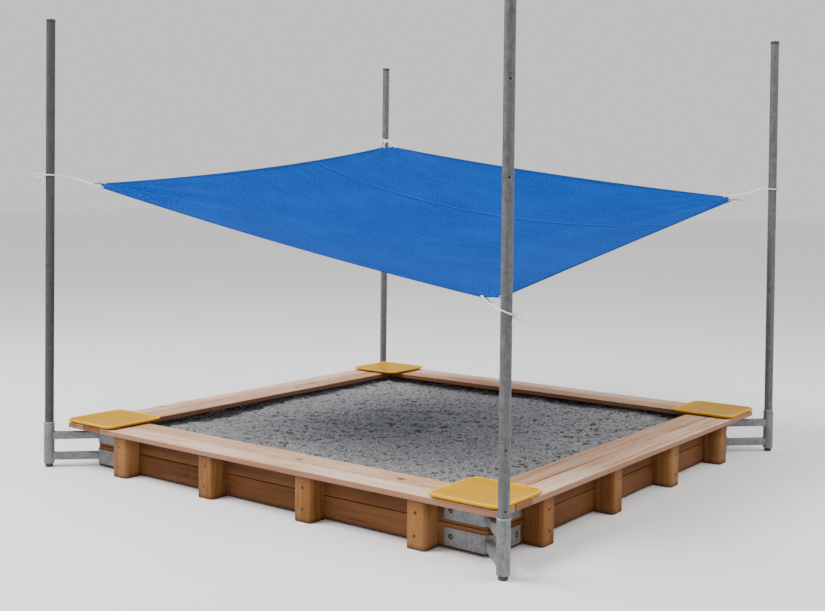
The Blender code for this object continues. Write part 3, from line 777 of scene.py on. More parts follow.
def drilled_tube(corner):
    """The tube's outside as a grid over angle and height, opened at each hole.

    Round a hole, points are moved from squares to circles: a point's share of the way
    from the hole's square (2 cells) to the patch's square (6 cells) is its share of the
    way from the hole's radius to where it was.  Faces inside the hole are left out.
    """
    columns = 96
    half_round = np.pi * MAST_RADIUS
    cell = 2 * half_round / columns
    heights = [MAST_FOOT, MAST_FOOT + 0.002]
    for hole in MAST_HOLES:
        heights += list(hole + cell * np.arange(-6, 7))
        heights.append(hole + 0.12)
    heights = np.array(sorted(heights + [MAST_TOP - 0.002, MAST_TOP]))
    angle = np.arange(columns) * 2 * np.pi / columns
    out = np.array(CORNERS[corner]) / np.sqrt(2)
    first = np.arctan2(out[1], out[0])
    arc = np.repeat((angle * MAST_RADIUS)[None], len(heights), axis=0)
    rise = np.repeat(heights[:, None], columns, axis=1)
    hollow = np.zeros(arc.shape, bool)
    for hole in MAST_HOLES:
        for turn in (0.0, np.pi):
            dx = (arc - turn * MAST_RADIUS + half_round) % (2 * half_round) - half_round
            dz = rise - hole
            square = np.maximum(np.abs(dx), np.abs(dz)) / cell
            near = (square < 6.01) & (square > 0.5)
            share = np.clip((square - 2) / 4, 0, 1)
            far = np.hypot(dx, dz) + 1e-9
            wanted = HOLE_RADIUS + share * (far - HOLE_RADIUS)
            grow = np.where(near & (square < 5.99), wanted / far, 1.0)
            grow = np.where(square < 1.99, HOLE_RADIUS * 0.9 * square / 2 / far, grow)
            arc, rise = arc + dx * (grow - 1), rise + dz * (grow - 1)
            hollow |= square < 1.99
    points = np.stack([
        MAST_RADIUS * np.cos(arc / MAST_RADIUS + first),
        MAST_RADIUS * np.sin(arc / MAST_RADIUS + first),
        rise,
    ], axis=-1)
    points[..., :2] += np.array(CORNERS[corner]) * MAST_AXIS
    number = np.arange(points.shape[0] * columns).reshape(points.shape[:2])
    wrapped = np.hstack([number, number[:, :1]])
    open_ = np.hstack([hollow, hollow[:, :1]])
    corners = [wrapped[:-1, :-1], wrapped[:-1, 1:], wrapped[1:, 1:], wrapped[1:, :-1]]
    gone = open_[:-1, :-1] | open_[:-1, 1:] | open_[1:, 1:] | open_[1:, :-1]
    faces = np.stack(corners, axis=-1)[~gone]
    used, faces = np.unique(faces, return_inverse=True)
    mesh = bpy.data.meshes.new("mast")
    mesh.from_pydata(points.reshape(-1, 3)[used], [], faces.reshape(-1, 4).tolist())
    mesh.shade_smooth()
    return mesh


rim = MAST_TOP + 0.0003
cap_outline = rounded([(0.0, rim + CAP_RISE), (CAP_RADIUS, rim + CAP_RISE), (CAP_RADIUS, rim),
                       (STEM_RADIUS, rim), (STEM_RADIUS, rim - STEM_LENGTH),
                       (0.0, rim - STEM_LENGTH)], 0.0035, 6)
stem_top = FOOT_HEIGHT + STEM_LENGTH
foot_outline = rounded([(0.0, stem_top), (STEM_RADIUS, stem_top), (STEM_RADIUS, FOOT_HEIGHT),
                        (STEM_RADIUS, 0.0), (0.0, 0.0)], 0.003, 5)

for corner, way in CORNERS.items():
    body, axis = f"{corner}_mast", MAST_AXIS * np.append(way, 0)
    steel = OLD_MAST if corner == "front_left" else MAST
    mast = put(f"tube_{corner}", drilled_tube(corner), steel, body)
    wall = mast.modifiers.new("wall", "SOLIDIFY")
    wall.thickness = MAST_WALL
    wall.offset = -1.0
    mast.data.set_sharp_from_angle(angle=np.radians(50))
    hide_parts(f"mast_{corner}")
    for name, outline in (("cap", cap_outline), ("foot", foot_outline)):
        mesh = turned_mesh(name, outline, axis, sides=48)
        plug = put(f"{name}_{corner}", mesh, PLUG, body)
        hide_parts(f"mast_{name}_{corner}")

# ================================================================ brackets
# Galvanised steel, welded: two 5 mm bands bent round the corner, two 40 mm square tubes out
# to the socket, and the socket tube itself.  Dome-headed bolts hold the bands to the boards.

QUARTERS = {"back_right": 0, "back_left": 90, "front_left": 180, "front_right": 270}
WALL_OUT, WALL_IN = 1.305, 1.277
CORNER_BEVEL = 0.031
BAND_THICK, BAND_HEIGHT, BAND_REACH = 0.005, 0.080, 0.233
BAND_MIDDLES = (0.058, 0.172)
BAND_GAP = 0.0003            # between the band and the boards
ARM_SIZE, ARM_CORNER = 0.040, 0.005
WELD_RADIUS, WELD_RIPPLE = 0.0026, 0.0034
SOCKET_RADIUS, SOCKET_WALL = 0.0285, 0.003
SOCKET_BOTTOM, SOCKET_TOP = 0.020, 0.2475
BOLT_RADIUS, BOLT_RISE, WASHER_THICK = 0.0085, 0.0052, 0.0016
BOLT_PLACE = 1.106           # from the middle, along the side
BOLT_OVER = 0.002            # over the band's middle
# The pale band above 0.245 m on this steel is a painted highlight on the socket's top edge.
BRACKET = metal_material("galvanised bracket", (0.165, 0.168, 0.172), 0.48, 0.30, 110.0, 16.0, rim=0.2450)
BRIGHT = metal_material("zinc bolt", (0.075, 0.075, 0.078), 0.20, 0.7, 300.0, 60.0)


def spun(points, degrees):
    """Points turned about Z."""
    angle = np.radians(degrees)
    x, y = points[..., 0], points[..., 1]
    cosine, sine = np.cos(angle), np.sin(angle)
    return np.stack([x * cosine - y * sine, x * sine + y * cosine, points[..., 2]], axis=-1)


def bar_outline(half_a, half_b, radii, steps=5):
    """A rectangle round the origin with round corners, one radius for each, counter-clockwise
    from the corner with both coordinates positive."""
    made = []
    for index, radius in enumerate(radii):
        angle = np.radians(index * 90 + np.linspace(0, 90, steps))
        way = np.array(((1, 1), (-1, 1), (-1, -1), (1, -1))[index])
        middle = way * (half_a - radius, half_b - radius)
        made.append(middle + radius * np.column_stack([np.cos(angle), np.sin(angle)]))
    return np.vstack(made)


def filled(outline, spacing):
    """A closed outline with extra points along its long straight sides."""
    made = []
    for here, there in zip(outline, np.roll(outline, -1, axis=0)):
        pieces = max(1, int(np.ceil(np.linalg.norm(there - here) / spacing)))
        made.append(here + (there - here) * np.linspace(0, 1, pieces, endpoint=False)[:, None])
    return np.vstack(made)


def band_mesh(height):
    """A flat bar carried round the back right corner; its section stands on the path's normal."""
    inner = WALL_OUT + BAND_GAP
    flat = WALL_OUT - CORNER_BEVEL + BAND_GAP
    end = WALL_OUT - BAND_REACH
    path = rounded([(end, inner), (flat, inner), (inner, flat), (inner, end)], 0.010, 7)
    steps = np.linspace(0, 1, 8)[:, None]
    path = np.vstack([path[0] + (path[1] - path[0]) * steps, path[2:-2],
                      path[-2] + (path[-1] - path[-2]) * steps])
    tangent = np.gradient(path, axis=0)
    tangent /= np.linalg.norm(tangent, axis=1)[:, None]
    normal = np.column_stack([-tangent[:, 1], tangent[:, 0]])
    section = bar_outline(BAND_THICK / 2, BAND_HEIGHT / 2, [0.0016] * 4, 4)
    plan = path[:, None] + normal[:, None] * (section[:, 0] + BAND_THICK / 2)[None, :, None]
    rise = np.repeat((height + section[:, 1])[None, :, None], len(path), axis=0)
    return np.concatenate([plan, rise], axis=-1)


def arm_mesh(height):
    """A square tube from the band's 45 degree face to the socket, on the diagonal."""
    section = bar_outline(ARM_SIZE / 2, ARM_SIZE / 2, [ARM_CORNER] * 4, 5)
    face = (WALL_OUT - CORNER_BEVEL / 2) * np.sqrt(2) + BAND_THICK * 0.7
    run = np.array([face, MAST_AXIS * np.sqrt(2) - 0.022])
    out, side = np.array((1, 1)) / np.sqrt(2), np.array((-1, 1)) / np.sqrt(2)
    plan = run[:, None, None] * out + section[None, :, :1] * side
    rise = np.repeat((height + section[:, 1])[None, :, None], 2, axis=0)
    return np.concatenate([plan, rise], axis=-1)


def weld_mesh(height, on_socket):
    """A rippled weld bead round the arm, where it meets the socket or the band.

    The bead's radius is its mean times 1 + 0.22 sin of a full turn in each ripple.
    """
    outline = filled(bar_outline(ARM_SIZE / 2, ARM_SIZE / 2, [ARM_CORNER] * 4, 5), 0.0011)
    outline = np.vstack([outline, outline[:1]])
    axis = MAST_AXIS * np.sqrt(2)
    if on_socket:
        run = axis - np.sqrt(SOCKET_RADIUS ** 2 - outline[:, 0] ** 2)
    else:
        run = np.full(len(outline), (WALL_OUT - CORNER_BEVEL / 2) * np.sqrt(2) + BAND_THICK)
    out, side = np.array((1, 1, 0)) / np.sqrt(2), np.array((-1, 1, 0)) / np.sqrt(2)
    line = run[:, None] * out + outline[:, :1] * side + (height + outline[:, 1:]) * np.array((0, 0, 1))
    _, side, top, run = line_frames(line)
    angle = np.linspace(0, 2 * np.pi, 8, endpoint=False)[None, :, None]
    radius = WELD_RADIUS * (1 + 0.22 * np.sin(2 * np.pi * run / WELD_RIPPLE))[:, None, None]
    return line[:, None] + radius * (np.cos(angle) * side[:, None] + np.sin(angle) * top[:, None])


def bolt_profile():
    """A dome over a thin washer: height over the radius falls as the root of 1 - share squared."""
    share = np.sin(np.linspace(0, np.pi / 2, 9))
    dome = np.column_stack([BOLT_RADIUS * share, WASHER_THICK + BOLT_RISE * np.sqrt(1 - share ** 2)])
    washer = [(1, WASHER_THICK), (1.42, 0.0015), (1.5, 0.0010), (1.5, -0.0006), (0, -0.0006)]
    return np.vstack([dome, np.array(washer) * (BOLT_RADIUS, 1)])


for corner, degrees in QUARTERS.items():
    grids, heads = [], []
    for height in BAND_MIDDLES:
        grids += [band_mesh(height), arm_mesh(height), weld_mesh(height, True), weld_mesh(height, False)]
    parts = [grid_mesh("steel", spun(grid, degrees), wrap=True, caps=True) for grid in grids]
    way_x, way_y = CORNERS[corner]
    axis = (way_x * MAST_AXIS, way_y * MAST_AXIS, 0.0)
    bore = SOCKET_RADIUS - SOCKET_WALL
    profile = [(bore, 0.13), (bore, SOCKET_TOP), (SOCKET_RADIUS, SOCKET_TOP),
               (SOCKET_RADIUS, SOCKET_BOTTOM), (bore, SOCKET_BOTTOM), (bore, 0.13)]
    parts.append(turned_mesh("socket", rounded(profile, 0.0012, 4), axis, sides=64))
    weldment = put(f"weldment_{corner}", joined("weldment", parts), BRACKET, "frame")
    weldment.data.set_sharp_from_angle(angle=np.radians(40))
    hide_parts(f"bracket_{corner}")
    for height in BAND_MIDDLES:
        on_band, up = WALL_OUT + BAND_GAP + BAND_THICK, height + BOLT_OVER
        for place, along in (((BOLT_PLACE, on_band, up), (0, 1, 0)),
                             ((on_band, BOLT_PLACE, up), (1, 0, 0))):
            place, along = spun(np.array(place), degrees), spun(np.array(along), degrees)
            heads.append(turned_mesh("bolt", bolt_profile(), place, along, 28))
    put(f"bolts_{corner}", joined("bolts", heads), BRIGHT, "frame")

# ================================================================ seat planks and wall boards
# Two pine planks lie flat along each side as the seat, on two impregnated boards that stand
# on edge and meet in a mitre.  Each carries its own place in the tree, so rings, knots and
# end grain all agree.

HALF_SEAT_INNER = HALF_SEAT - 0.266
SEAT_TOP = 0.242
PLANK_WIDTH, PLANK_THICK, PLANK_GAP = 0.130, 0.028, 0.006
BOARD_ROWS = (("lower", 0.008, 0.1155), ("upper", 0.1185, 0.2137))
SIDES = {"front": 0, "right": 90, "back": 180, "left": 270}


def beam_mesh(name, section, ends, edge, axes, degrees, heart, sway=0.0007):
    """A board swept along its length.

    section is a closed outline of (across, depth); ends gives, for a point across, where
    the board starts and ends.  Near each end the outline draws in by a quarter circle of
    the edge's radius.  The board sways by three slow sines along its length.  heart is
    where the tree's heart lies, added to the place kept as "grain".
    """
    section = filled(section, 0.020)
    middle = (section.max(axis=0) + section.min(axis=0)) / 2
    half = (section.max(axis=0) - section.min(axis=0)) / 2
    arc = np.linspace(0, np.pi / 2, 4)
    runs = np.concatenate([[0, 0, 0], edge * (1 - np.cos(arc))])
    shares = np.vstack([np.outer((0.02, 0.40, 0.75), (half - edge) / half),
                        (half - edge * (1 - np.sin(arc))[:, None]) / half])
    inner = np.linspace(0, 1, 50)[1:-1]
    share = np.concatenate([shares, np.ones((len(inner), 2)), shares[::-1]])
    flat = middle + (section - middle)[None] * share[:, None]
    first, last = ends(flat[..., 0])
    t = np.concatenate([np.zeros(len(runs)), inner, np.ones(len(runs))])[:, None]
    inset = np.concatenate([runs, np.zeros(len(inner)), -runs[::-1]])[:, None]
    along = first + (last - first) * t + inset
    wave = heart[0] * 7 + np.array([1.7, 3.1, 5.3])[:, None, None] * along
    flat[..., 0] += sway * np.sin(wave).sum(axis=0)
    flat[..., 1] += sway * 0.6 * np.cos(wave * 1.3).sum(axis=0)
    places = np.concatenate([along[..., None], flat], axis=-1)
    mesh = grid_mesh(name, spun(places @ np.array(axes, float), degrees), wrap=True, caps=True)
    grain = (places - (0, *middle) + np.array(heart)).astype(np.float32)
    mesh.attributes.new("grain", "FLOAT_VECTOR", "POINT").data.foreach_set("vector", grain.ravel())
    return mesh


def wood_material(name, pale, deep, knot, gap, wear_and_highlight, dirt_and_painted_shade, *stops):
    """Pine: growth rings round the board's heart, broad streaks, fibres, knots and checks.

    A ring's share is the distance from the heart over the gap, less its whole part; near
    a knot that distance grows, so the rings flow round it.  Dirt and painted shade go by
    height: each stop is a height and how far the darker colour is mixed in there.
    """
    made = _, tree, _ = new_material(name, 0.62)
    place = node(tree, "ShaderNodeAttribute", {"attribute_name": "grain"}).outputs["Vector"]
    wander = node(tree, "ShaderNodeTexNoise", Vector=stretched(tree, place, (1.6, 8.0, 8.0)),
                  Scale=1.0, Detail=3.0)
    shift = node(tree, "ShaderNodeVectorMath", {"operation": "MULTIPLY_ADD"}, _0=wander.outputs[1],
                 _1=(0.0, 0.05, 0.05), _2=place).outputs[0]
    flat = node(tree, "ShaderNodeVectorMath", {"operation": "MULTIPLY"}, _0=shift, _1=(0.0, 1.0, 1.0))
    far = node(tree, "ShaderNodeVectorMath", {"operation": "LENGTH"}, _0=flat.outputs[0]).outputs["Value"]
    cell = node(tree, "ShaderNodeTexVoronoi", Vector=stretched(tree, place, (4.6, 7.0, 7.0)), Scale=1.0)
    plain = maths(tree, "GREATER_THAN", red_of(tree, cell.outputs[1]), 0.60)
    near = maths(tree, "ADD", cell.outputs[0], plain)
    ragged = noise(tree, place, 60.0, 3.0)
    near = maths(tree, "ADD", near, maths(tree, "MULTIPLY_ADD", ragged, 0.05, -0.025))
    bulge = maths(tree, "MULTIPLY", ramp(tree, near, (0.04, 1.0), (0.34, 0.0), smooth=True), 0.020)
    ring = maths(tree, "FRACT", maths(tree, "DIVIDE", maths(tree, "ADD", far, bulge), gap))
    late = ramp(tree, ring, (0.0, 0.0), (0.45, 0.15), (0.86, 1.0), (0.97, 0.0))
    streak = noise(tree, stretched(tree, shift, (1.1, 34.0, 34.0)), 1.0, 5.0, 0.6)
    fibre = noise(tree, stretched(tree, place, (14.0, 620.0, 620.0)), 1.0, 3.0, 0.6)
    patch = noise(tree, stretched(tree, place, (1.4, 4.0, 4.0)), 1.0, 4.0, 0.55)
    base = mix(tree, maths(tree, "MULTIPLY", late, 0.55), pale, deep)
    base = tint(tree, base, deep, streak, (0.44, 0.0), (0.62, 0.90))
    base = tint(tree, base, tuple(c * 0.62 for c in deep), fibre, (0.35, 0.35), (0.60, 0.0))
    base = tint(tree, base, wear_and_highlight, patch, (0.42, 0.0), (0.68, 0.55))
    halo = ramp(tree, near, (0.06, 0.75), (0.20, 0.0), smooth=True)
    base = mix(tree, halo, base, tuple(c * 0.8 for c in deep))
    core = ramp(tree, near, (0.0, 1.0), (0.070, 0.9), (0.095, 0.0))
    base = mix(tree, core, base, knot)
    crack = noise(tree, stretched(tree, shift, (0.9, 46.0, 46.0)), 1.0, 2.0, 0.4)
    check = ramp(tree, crack, (0.485, 0.0), (0.500, 1.0), (0.515, 0.0))
    where = noise(tree, stretched(tree, place, (2.0, 9.0, 9.0)), 1.0, 2.0)
    check = maths(tree, "MULTIPLY", check, ramp(tree, where, (0.60, 0.0), (0.68, 1.0)))
    base = mix(tree, maths(tree, "MULTIPLY", check, 0.75), base, tuple(c * 0.22 for c in deep))
    # What is mixed in by height is dirt and painted shade, as each material's stops give.
    low, high = stops[0][0], stops[-1][0]
    share = maths(tree, "MULTIPLY_ADD", object_height(tree), 1 / (high - low), -low / (high - low))
    shares = [((level - low) / (high - low), amount) for level, amount in stops]
    base = tint(tree, base, dirt_and_painted_shade, share, *shares)
    gloss = maths(tree, "MULTIPLY_ADD", late, -0.10, 0.68)
    gloss = maths(tree, "MULTIPLY_ADD", core, -0.12, gloss)
    height = maths(tree, "MULTIPLY_ADD", late, 0.6, fibre)
    height = maths(tree, "SUBTRACT", height, maths(tree, "MULTIPLY", check, 2.5))
    return painted(made, base, bump(tree, height, 0.45, 0.0012), gloss, 0.15)


# On both seat planks the last colour is mixed in below the top face: a painted shade on the planks' sides
# and undersides.
SEAT_OUTER = wood_material(
    "seat pine", (0.88, 0.62, 0.45), (0.60, 0.28, 0.14), (0.13, 0.040, 0.014), 0.0085,
    (0.90, 0.72, 0.58), (0.24, 0.100, 0.052), (0.2390, 0.84), (0.2408, 0.0))
SEAT_INNER = wood_material(
    "inner seat pine", (0.70, 0.43, 0.26), (0.46, 0.21, 0.09), (0.11, 0.034, 0.012), 0.0075,
    (0.76, 0.54, 0.38), (0.15, 0.055, 0.025), (0.2390, 0.84), (0.2408, 0.0))
# The boards' colours are partly the impregnated wood's own dark tone and partly a painted shade under the
# seat; the last colour adds more painted shade toward the top and makes the lowest two centimetres darker.
WALL_WOOD = wood_material(
    "impregnated board", (0.18, 0.068, 0.020), (0.090, 0.031, 0.008), (0.040, 0.012, 0.004), 0.0080,
    (0.27, 0.125, 0.045), (0.055, 0.022, 0.009),
    (0.010, 0.92), (0.024, 0.15), (0.110, 0.0), (0.200, 0.78))

chance = np.random.default_rng(7)
LYING = ((1, 0, 0), (0, 1, 0), (0, 0, 1))       # along, across and depth of a front board


def heart_of(low, high, spread):
    """A place for the tree's heart: any along, a little across, and low to high under it."""
    return (chance.uniform(0, 40), chance.uniform(-spread, spread), chance.uniform(low, high))


def plank_ends(across):
    """From just clear of the next side's planks to the seat's outer corner."""
    return -HALF_SEAT_INNER + 0.003 + 0 * across, HALF_SEAT + 0 * across


def mitre_ends(across):
    """Ends at the 45 degree corner cut outside, and at the mitre inside."""
    end = np.minimum(2 * WALL_OUT - CORNER_BEVEL + across, -across - 0.0003)
    return -end, end


for side, degrees in SIDES.items():
    for row, inset, wood in (("outer", 0.0, SEAT_OUTER), ("inner", PLANK_WIDTH + PLANK_GAP, SEAT_INNER)):
        outline = bar_outline(PLANK_WIDTH / 2, PLANK_THICK / 2, [0.0045, 0.0045, 0.003, 0.003])
        outline = outline + (-HALF_SEAT + inset + PLANK_WIDTH / 2, SEAT_TOP - PLANK_THICK / 2)
        mesh = beam_mesh("plank", outline, plank_ends, 0.0035, LYING, degrees,
                         heart_of(0.03, 0.09, 0.05), 0.0005)
        plank = put(f"plank_{side}_{row}", mesh, wood, "frame")
        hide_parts(f"seat_{side}_{row}")
    for row, low, high in BOARD_ROWS:
        outline = bar_outline((WALL_OUT - WALL_IN) / 2, (high - low) / 2, [0.003] * 4)
        outline = outline + (-(WALL_OUT + WALL_IN) / 2, (high + low) / 2)
        mesh = beam_mesh("board", outline, mitre_ends, 0.001, LYING, degrees,
                         heart_of(0.02, 0.06, 0.02), 0.0)
        board = put(f"board_{side}_{row}", mesh, WALL_WOOD, "frame")
        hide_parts(f"wall_{side}_{row}")

# ================================================================ posts
# Sixteen upright impregnated timbers outside the wall, their two outer edges planed round.
# Two countersunk screws go through each into the boards.

POST_PITCH, POST_WIDTH, POST_DEPTH, POST_TOP = 0.656, 0.104, 0.098, 0.2137
POSTS_ON_A_SIDE = 4
SCREW_HEIGHTS = (0.162, 0.062)
SCREW_SCATTER = 0.006
SCREW_RADIUS = 0.0066
UPRIGHT = ((0, 0, 1), (1, 0, 0), (0, 1, 0))     # along, across and depth of a front post
# The last colour is dirt near the ground and a painted shade under the seat at the top.
POST_WOOD = wood_material(
    "impregnated post", (0.29, 0.125, 0.036), (0.14, 0.050, 0.013), (0.045, 0.014, 0.005), 0.0070,
    (0.42, 0.22, 0.085), (0.055, 0.022, 0.009),
    (0.004, 0.80), (0.024, 0.12), (0.150, 0.0), (0.210, 0.50))
# The heads are near black, a painted shade for the dark holes they sit in.
SCREW = metal_material("dark screw", (0.010, 0.009, 0.008), 0.6, 0.2, 500.0, 90.0)


def post_ends(across):
    """From the ground to the underside of the seat."""
    return 0 * across, POST_TOP + 0 * across


def screw_profile(radius):
    """A countersunk head: a dished face inside a thin lip."""
    shares = [(0.0, -0.0008), (0.35, -0.0008), (0.40, 0.0001), (0.85, 0.0004), (1.0, 0.0002),
              (1.0, -0.002), (0.0, -0.002)]
    return np.array(shares) * (radius, 1)


for side, degrees in SIDES.items():
    for number in range(POSTS_ON_A_SIDE):
        middle = (number - (POSTS_ON_A_SIDE - 1) / 2) * POST_PITCH
        outline = bar_outline(POST_WIDTH / 2, POST_DEPTH / 2, [0.003, 0.003, 0.018, 0.018], 7)
        outline = outline + (middle, -WALL_OUT - POST_DEPTH / 2)
        mesh = beam_mesh("post", outline, post_ends, 0.0035, UPRIGHT, degrees,
                         heart_of(-0.03, 0.03, 0.03), 0.0004)
        post = put(f"timber_{side}_{number + 1}", mesh, POST_WOOD, "frame")
        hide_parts(f"post_{side}_{number + 1}")
        heads, outward = [], spun(np.array((0, -1, 0)), degrees)
        for height in SCREW_HEIGHTS:
            shift = chance.uniform(-SCREW_SCATTER, SCREW_SCATTER)
            place = np.array((middle + shift, -WALL_OUT - POST_DEPTH - 0.0006, height + shift / 2))
            place = spun(place, degrees)
            heads.append(turned_mesh("screw", screw_profile(SCREW_RADIUS), place, outward, 20))
        screws = joined("screws", heads)
        put(f"post_screws_{side}_{number + 1}", screws, SCREW, "frame")

# ================================================================ corner plates
# Yellow moulded plastic, dished, with a rounded rim that stands off the seat.  A screw
# with a sunk head holds each corner of the plate.

TRAY_SIDE, TRAY_CORNER, TRAY_THICK, TRAY_RISE = 0.380, 0.050, 0.012, 0.0105
TRAY_MIDDLE = HALF_SEAT + 0.013 - TRAY_SIDE / 2     # it stands 13 mm past the seat's edge
TRAY_SCREW_OUT, TRAY_SCREW_RADIUS = 0.128, 0.0046


def yellow_material():
    """Glossy yellow plastic with a slight orange peel and scuffs, and painted shade and highlight.

    Shades go by the level, which is 0 at the seat's top and 1 at the top of the rim.
    """
    made = _, tree, _ = new_material("yellow plate", 0.34)
    place = object_place(tree)
    cloud = noise(tree, place, 7.0, 5.0)
    peel = noise(tree, place, 260.0, 2.0)
    scuff = noise(tree, stretched(tree, place, (30.0, 260.0, 60.0), (0, 0, 0.5)), 1.0, 4.0, 0.7)
    base = ramp(tree, cloud, (0.30, (0.74, 0.34, 0.0)), (0.55, (0.90, 0.45, 0.0)),
                (0.80, (0.95, 0.52, 0.0)))
    base = tint(tree, base, (0.90, 0.60, 0.06), scuff, (0.62, 0.0), (0.78, 0.25))
    low, rise = SEAT_TOP + 0.0003, TRAY_RISE + TRAY_THICK - 0.0003
    level = maths(tree, "MULTIPLY_ADD", object_height(tree), 1 / rise, -low / rise)
    # Deeper orange over the dish and up its outer slope: partly the plate's own tone, partly a painted shade
    # that keeps the hollow darker than the rim.
    base = tint(tree, base, (0.46, 0.235, 0.0), level, (0.56, 0.85), (0.80, 0.60), (0.90, 0.0))
    base = tint(tree, base, (0.42, 0.19, 0.0), level, (0.80, 0.0), (0.85, 0.55), (0.90, 0.0))
    # Dark orange on the lower edge and underside: painted shade.
    base = tint(tree, base, (0.30, 0.12, 0.004), level, (0.20, 0.75), (0.45, 0.0))
    # Pale yellow on the top of the rim: a painted highlight.
    base = tint(tree, base, (1.0, 0.80, 0.22), level, (0.93, 0.0), (0.985, 0.95))
    gloss = ramp(tree, scuff, (0.35, 0.26), (0.75, 0.50))
    return painted(made, base, bump(tree, peel, 0.15, 0.0008), gloss, 0.04)


def tray_mesh(degrees):
    """Rings of a square with round corners, from the dish's middle over the rim and back.

    The dish falls by the rise times 1 - ring^4, the rim is a half circle of half the
    plate's thickness, and a low bell-shaped lip runs just inside it.
    """
    half = TRAY_SIDE / 2
    outline = filled(bar_outline(half, half, [TRAY_CORNER] * 4, 10), 0.03)
    round_part = np.radians(np.linspace(80, -80, 9))
    top = np.concatenate([np.linspace(0.03, 0.9, 22), np.linspace(0.91, 0.965, 8)])
    rim = 1 - TRAY_THICK / 2 / half * (1 - np.cos(round_part))
    ring = np.concatenate([top, rim, top[::-1]])
    fall = (TRAY_RISE - 0.0003) * (1 - ring ** 4)
    lip = 0.0016 * np.exp(-((ring - 0.962) / 0.016) ** 2) * (np.arange(len(ring)) < len(top) + 3)
    up = np.concatenate([np.full(len(top), TRAY_THICK), TRAY_THICK / 2 * (1 + np.sin(round_part)),
                         np.zeros(len(top))])
    rise = np.maximum(SEAT_TOP + TRAY_RISE - fall + up - 0.0008 + lip, SEAT_TOP + 0.0004)
    plan = ring[:, None, None] * outline[None] + TRAY_MIDDLE
    points = np.concatenate([plan, np.repeat(rise[:, None, None], len(outline), axis=1)], axis=-1)
    return grid_mesh("tray", spun(points, degrees)[::-1], wrap=True, caps=True)


YELLOW = yellow_material()
for corner, degrees in QUARTERS.items():
    tray = put(f"plate_{corner}", tray_mesh(degrees), YELLOW, "frame")
    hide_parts(f"corner_tray_{corner}")
    heads = []
    for way_x, way_y in CORNERS.values():
        fall = TRAY_RISE * (1 - (TRAY_SCREW_OUT / (TRAY_SIDE / 2)) ** 4)
        spot = np.array((TRAY_MIDDLE + way_x * TRAY_SCREW_OUT, TRAY_MIDDLE + way_y * TRAY_SCREW_OUT,
                         SEAT_TOP + TRAY_RISE + TRAY_THICK - 0.0011 - fall))
        heads.append(turned_mesh("screw", screw_profile(TRAY_SCREW_RADIUS), spun(spot, degrees), sides=20))
    put(f"plate_screws_{corner}", joined("screws", heads), SCREW, "frame")

# ================================================================ sand
# Damp dark grey play sand, raked and trodden, heaped a little against the back walls.

SAND_HALF = 1.2764           # just clear of the boards
SAND_CELLS = 300
SAND_LEVEL, SAND_LOWEST, SAND_HIGHEST, SAND_UNDER = 0.168, 0.145, 0.200, 0.0015
RAKED = (-0.60, 0.80)        # the way the rake was drawn


def rough_field(size, steepness, longest, shortest):
    """Random heights with more in the long waves than the short: white noise whose
    strength at each wave number is that number to the power of minus the steepness."""
    number = np.hypot(*np.meshgrid(*[np.fft.fftfreq(size, 1 / size)] * 2, indexing="ij"))
    strength = np.where((number >= longest) & (number <= shortest), np.maximum(number, 1) ** -steepness, 0)
    field = np.fft.ifft2(np.fft.fft2(chance.standard_normal((size, size))) * strength).real
    return field / field.std()


def sand_mesh():
    """A grid of heights: two mounds by the back walls, hollows, rake lines and lumps.

    The edge rows go down the sides to the ground and meet under the middle.  A value kept on
    each point sets painted light, paler on crests and far slopes, and painted shade, darker in
    hollows and on near slopes.
    """
    line = np.linspace(-1, 1, SAND_CELLS)
    x, y = np.meshgrid(line, line)
    height = SAND_LEVEL + 0.005 * rough_field(SAND_CELLS, 1.6, 2, 14)
    height += 0.020 * np.exp(-((y - 0.95) / 0.16) ** 2) * (0.7 + 0.3 * np.sin(4 * x))
    height += 0.014 * np.exp(-((x + 0.96) / 0.14) ** 2)
    lump = rough_field(SAND_CELLS, 0.6, 18, 148)
    height += 0.0040 * lump
    sweep = np.sin(44 * (RAKED[1] * y + RAKED[0] * x) + 1.6 * rough_field(SAND_CELLS, 2.2, 1, 6))
    crest = 1 - 2 * np.abs(np.arcsin(sweep) / np.pi - 0.5) ** 0.7
    height += 0.0085 * crest * np.clip(0.35 + 0.6 * rough_field(SAND_CELLS, 1.8, 1, 6), 0, 1)
    height = np.clip(height, SAND_LOWEST, SAND_HIGHEST)
    # Painted light and shade: paler on lumps and on slopes that face the back left, darker in hollows and on
    # slopes that face the front right.
    slope_y, slope_x = np.gradient(height)
    slope = RAKED[1] * slope_y + RAKED[0] * slope_x
    painted_light_and_shade = np.clip(0.54 + 0.09 * lump - 0.17 * slope / slope.std(), 0, 1)
    points = np.stack([x * SAND_HALF, y * SAND_HALF, height], axis=-1)
    padded = np.pad(points, ((2, 2), (2, 2), (0, 0)), mode="edge")
    for ring in (1, 0):
        for edge in (np.s_[ring], np.s_[-1 - ring], np.s_[:, ring], np.s_[:, -1 - ring]):
            padded[edge][..., :2] *= ring
            padded[edge][..., 2] = SAND_UNDER
    mesh = grid_mesh("sand", padded)
    painted_light_and_shade = np.pad(painted_light_and_shade, 2, mode="edge").astype(np.float32)
    mesh.attributes.new("painted_light_and_shade", "FLOAT", "POINT").data.foreach_set("value", painted_light_and_shade.ravel())
    return mesh


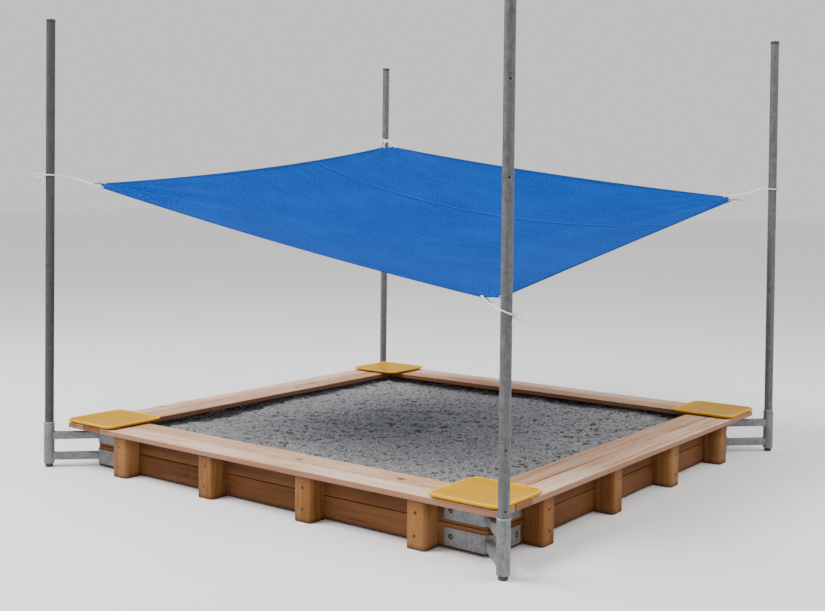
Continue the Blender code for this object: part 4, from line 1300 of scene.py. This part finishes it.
def sand_material():
    """Grey grains from near black to pale, in damp and dry patches, with pebbly bump."""
    made = _, tree, _ = new_material("grey sand", 0.95)
    place = object_place(tree)
    damp = noise(tree, place, 3.0, 6.0, 0.65)
    clump = noise(tree, place, 60.0, 6.0, 0.80)
    fine = noise(tree, place, 260.0, 4.0, 0.75)
    grains = node(tree, "ShaderNodeTexVoronoi", Vector=place, Scale=520.0)
    speck = red_of(tree, grains.outputs[1])
    # The clump colours run far paler than dark grey sand: partly the sand's own grey, partly painted light
    # that makes up for the sail's shadow.
    base = ramp(tree, clump, (0.38, (0.110, 0.108, 0.106)), (0.47, (0.72, 0.70, 0.68)),
                (0.58, (0.98, 0.96, 0.93)))
    base = tint(tree, base, (0.070, 0.070, 0.070), fine, (0.36, 0.50), (0.50, 0.0))
    base = tint(tree, base, (0.46, 0.45, 0.42), speck, (0.78, 0.0), (0.95, 0.65))
    base = tint(tree, base, (0.36, 0.35, 0.34), damp, (0.42, 0.12), (0.60, 0.0))
    # Painted shade in hollows and on near slopes, painted light on crests and far slopes, from the value
    # kept on each point.
    painted_light_and_shade = node(tree, "ShaderNodeAttribute", {"attribute_name": "painted_light_and_shade"}).outputs["Fac"]
    base = tint(tree, base, (0.065, 0.064, 0.063), painted_light_and_shade, (0.12, 0.75), (0.42, 0.0))
    base = tint(tree, base, (0.92, 0.90, 0.87), painted_light_and_shade, (0.52, 0.0), (0.85, 0.70))
    height = maths(tree, "ADD", maths(tree, "MULTIPLY", clump, 3.0), fine)
    normal = bump(tree, grains.outputs[0], 0.5, 0.001, bump(tree, height, 1.0, 0.012))
    return painted(made, base, normal, specular=0.2)


sand = put("sand_filling", sand_mesh(), sand_material(), "frame")
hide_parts("sand")

# ================================================================ floor and light
# A plain pale floor, a bright plain sky and two large soft lamps, the stronger one ahead
# and to the left.

FLOOR_HALF = 60.0
SKY_STRENGTH = 0.85
LIT_PLACE = (0, 0, 0.3)


def stage_floor():
    """A wide flat sheet, dusted with a very faint unevenness."""
    x, y = np.meshgrid((-FLOOR_HALF, FLOOR_HALF), (-FLOOR_HALF, FLOOR_HALF))
    mesh = grid_mesh("floor", np.stack([x, y, 0 * x], axis=-1))
    made = _, tree, _ = new_material("pale floor", 0.9)
    shade = noise(tree, object_place(tree), 1.5, 3.0)
    mesh.materials.append(painted(made, ramp(tree, shade, (0.3, 0.90), (0.7, 0.93))))
    floor = bpy.data.objects.new("floor", mesh)
    bpy.context.scene.collection.objects.link(floor)


def lamp(name, place, size, power):
    """A square soft lamp that faces the object."""
    data = bpy.data.lights.new(name, "AREA")
    data.size = size
    data.energy = power
    obj = bpy.data.objects.new(name, data)
    bpy.context.scene.collection.objects.link(obj)
    toward = (Vector(LIT_PLACE) - Vector(place)).to_track_quat("-Z", "Y").to_matrix().to_4x4()
    obj.matrix_world = Matrix.Translation(place) @ toward


stage_floor()
world = bpy.data.worlds.new("studio")
bpy.context.scene.world = world
world.use_nodes = True
sky = world.node_tree.nodes["Background"]
sky.inputs[0].default_value = (1.0, 1.0, 1.0, 1.0)
sky.inputs[1].default_value = SKY_STRENGTH
lamp("key", (-3.0, -4.0, 7.5), 4.0, 900)
lamp("fill", (5.0, 2.0, 6.5), 5.0, 300)
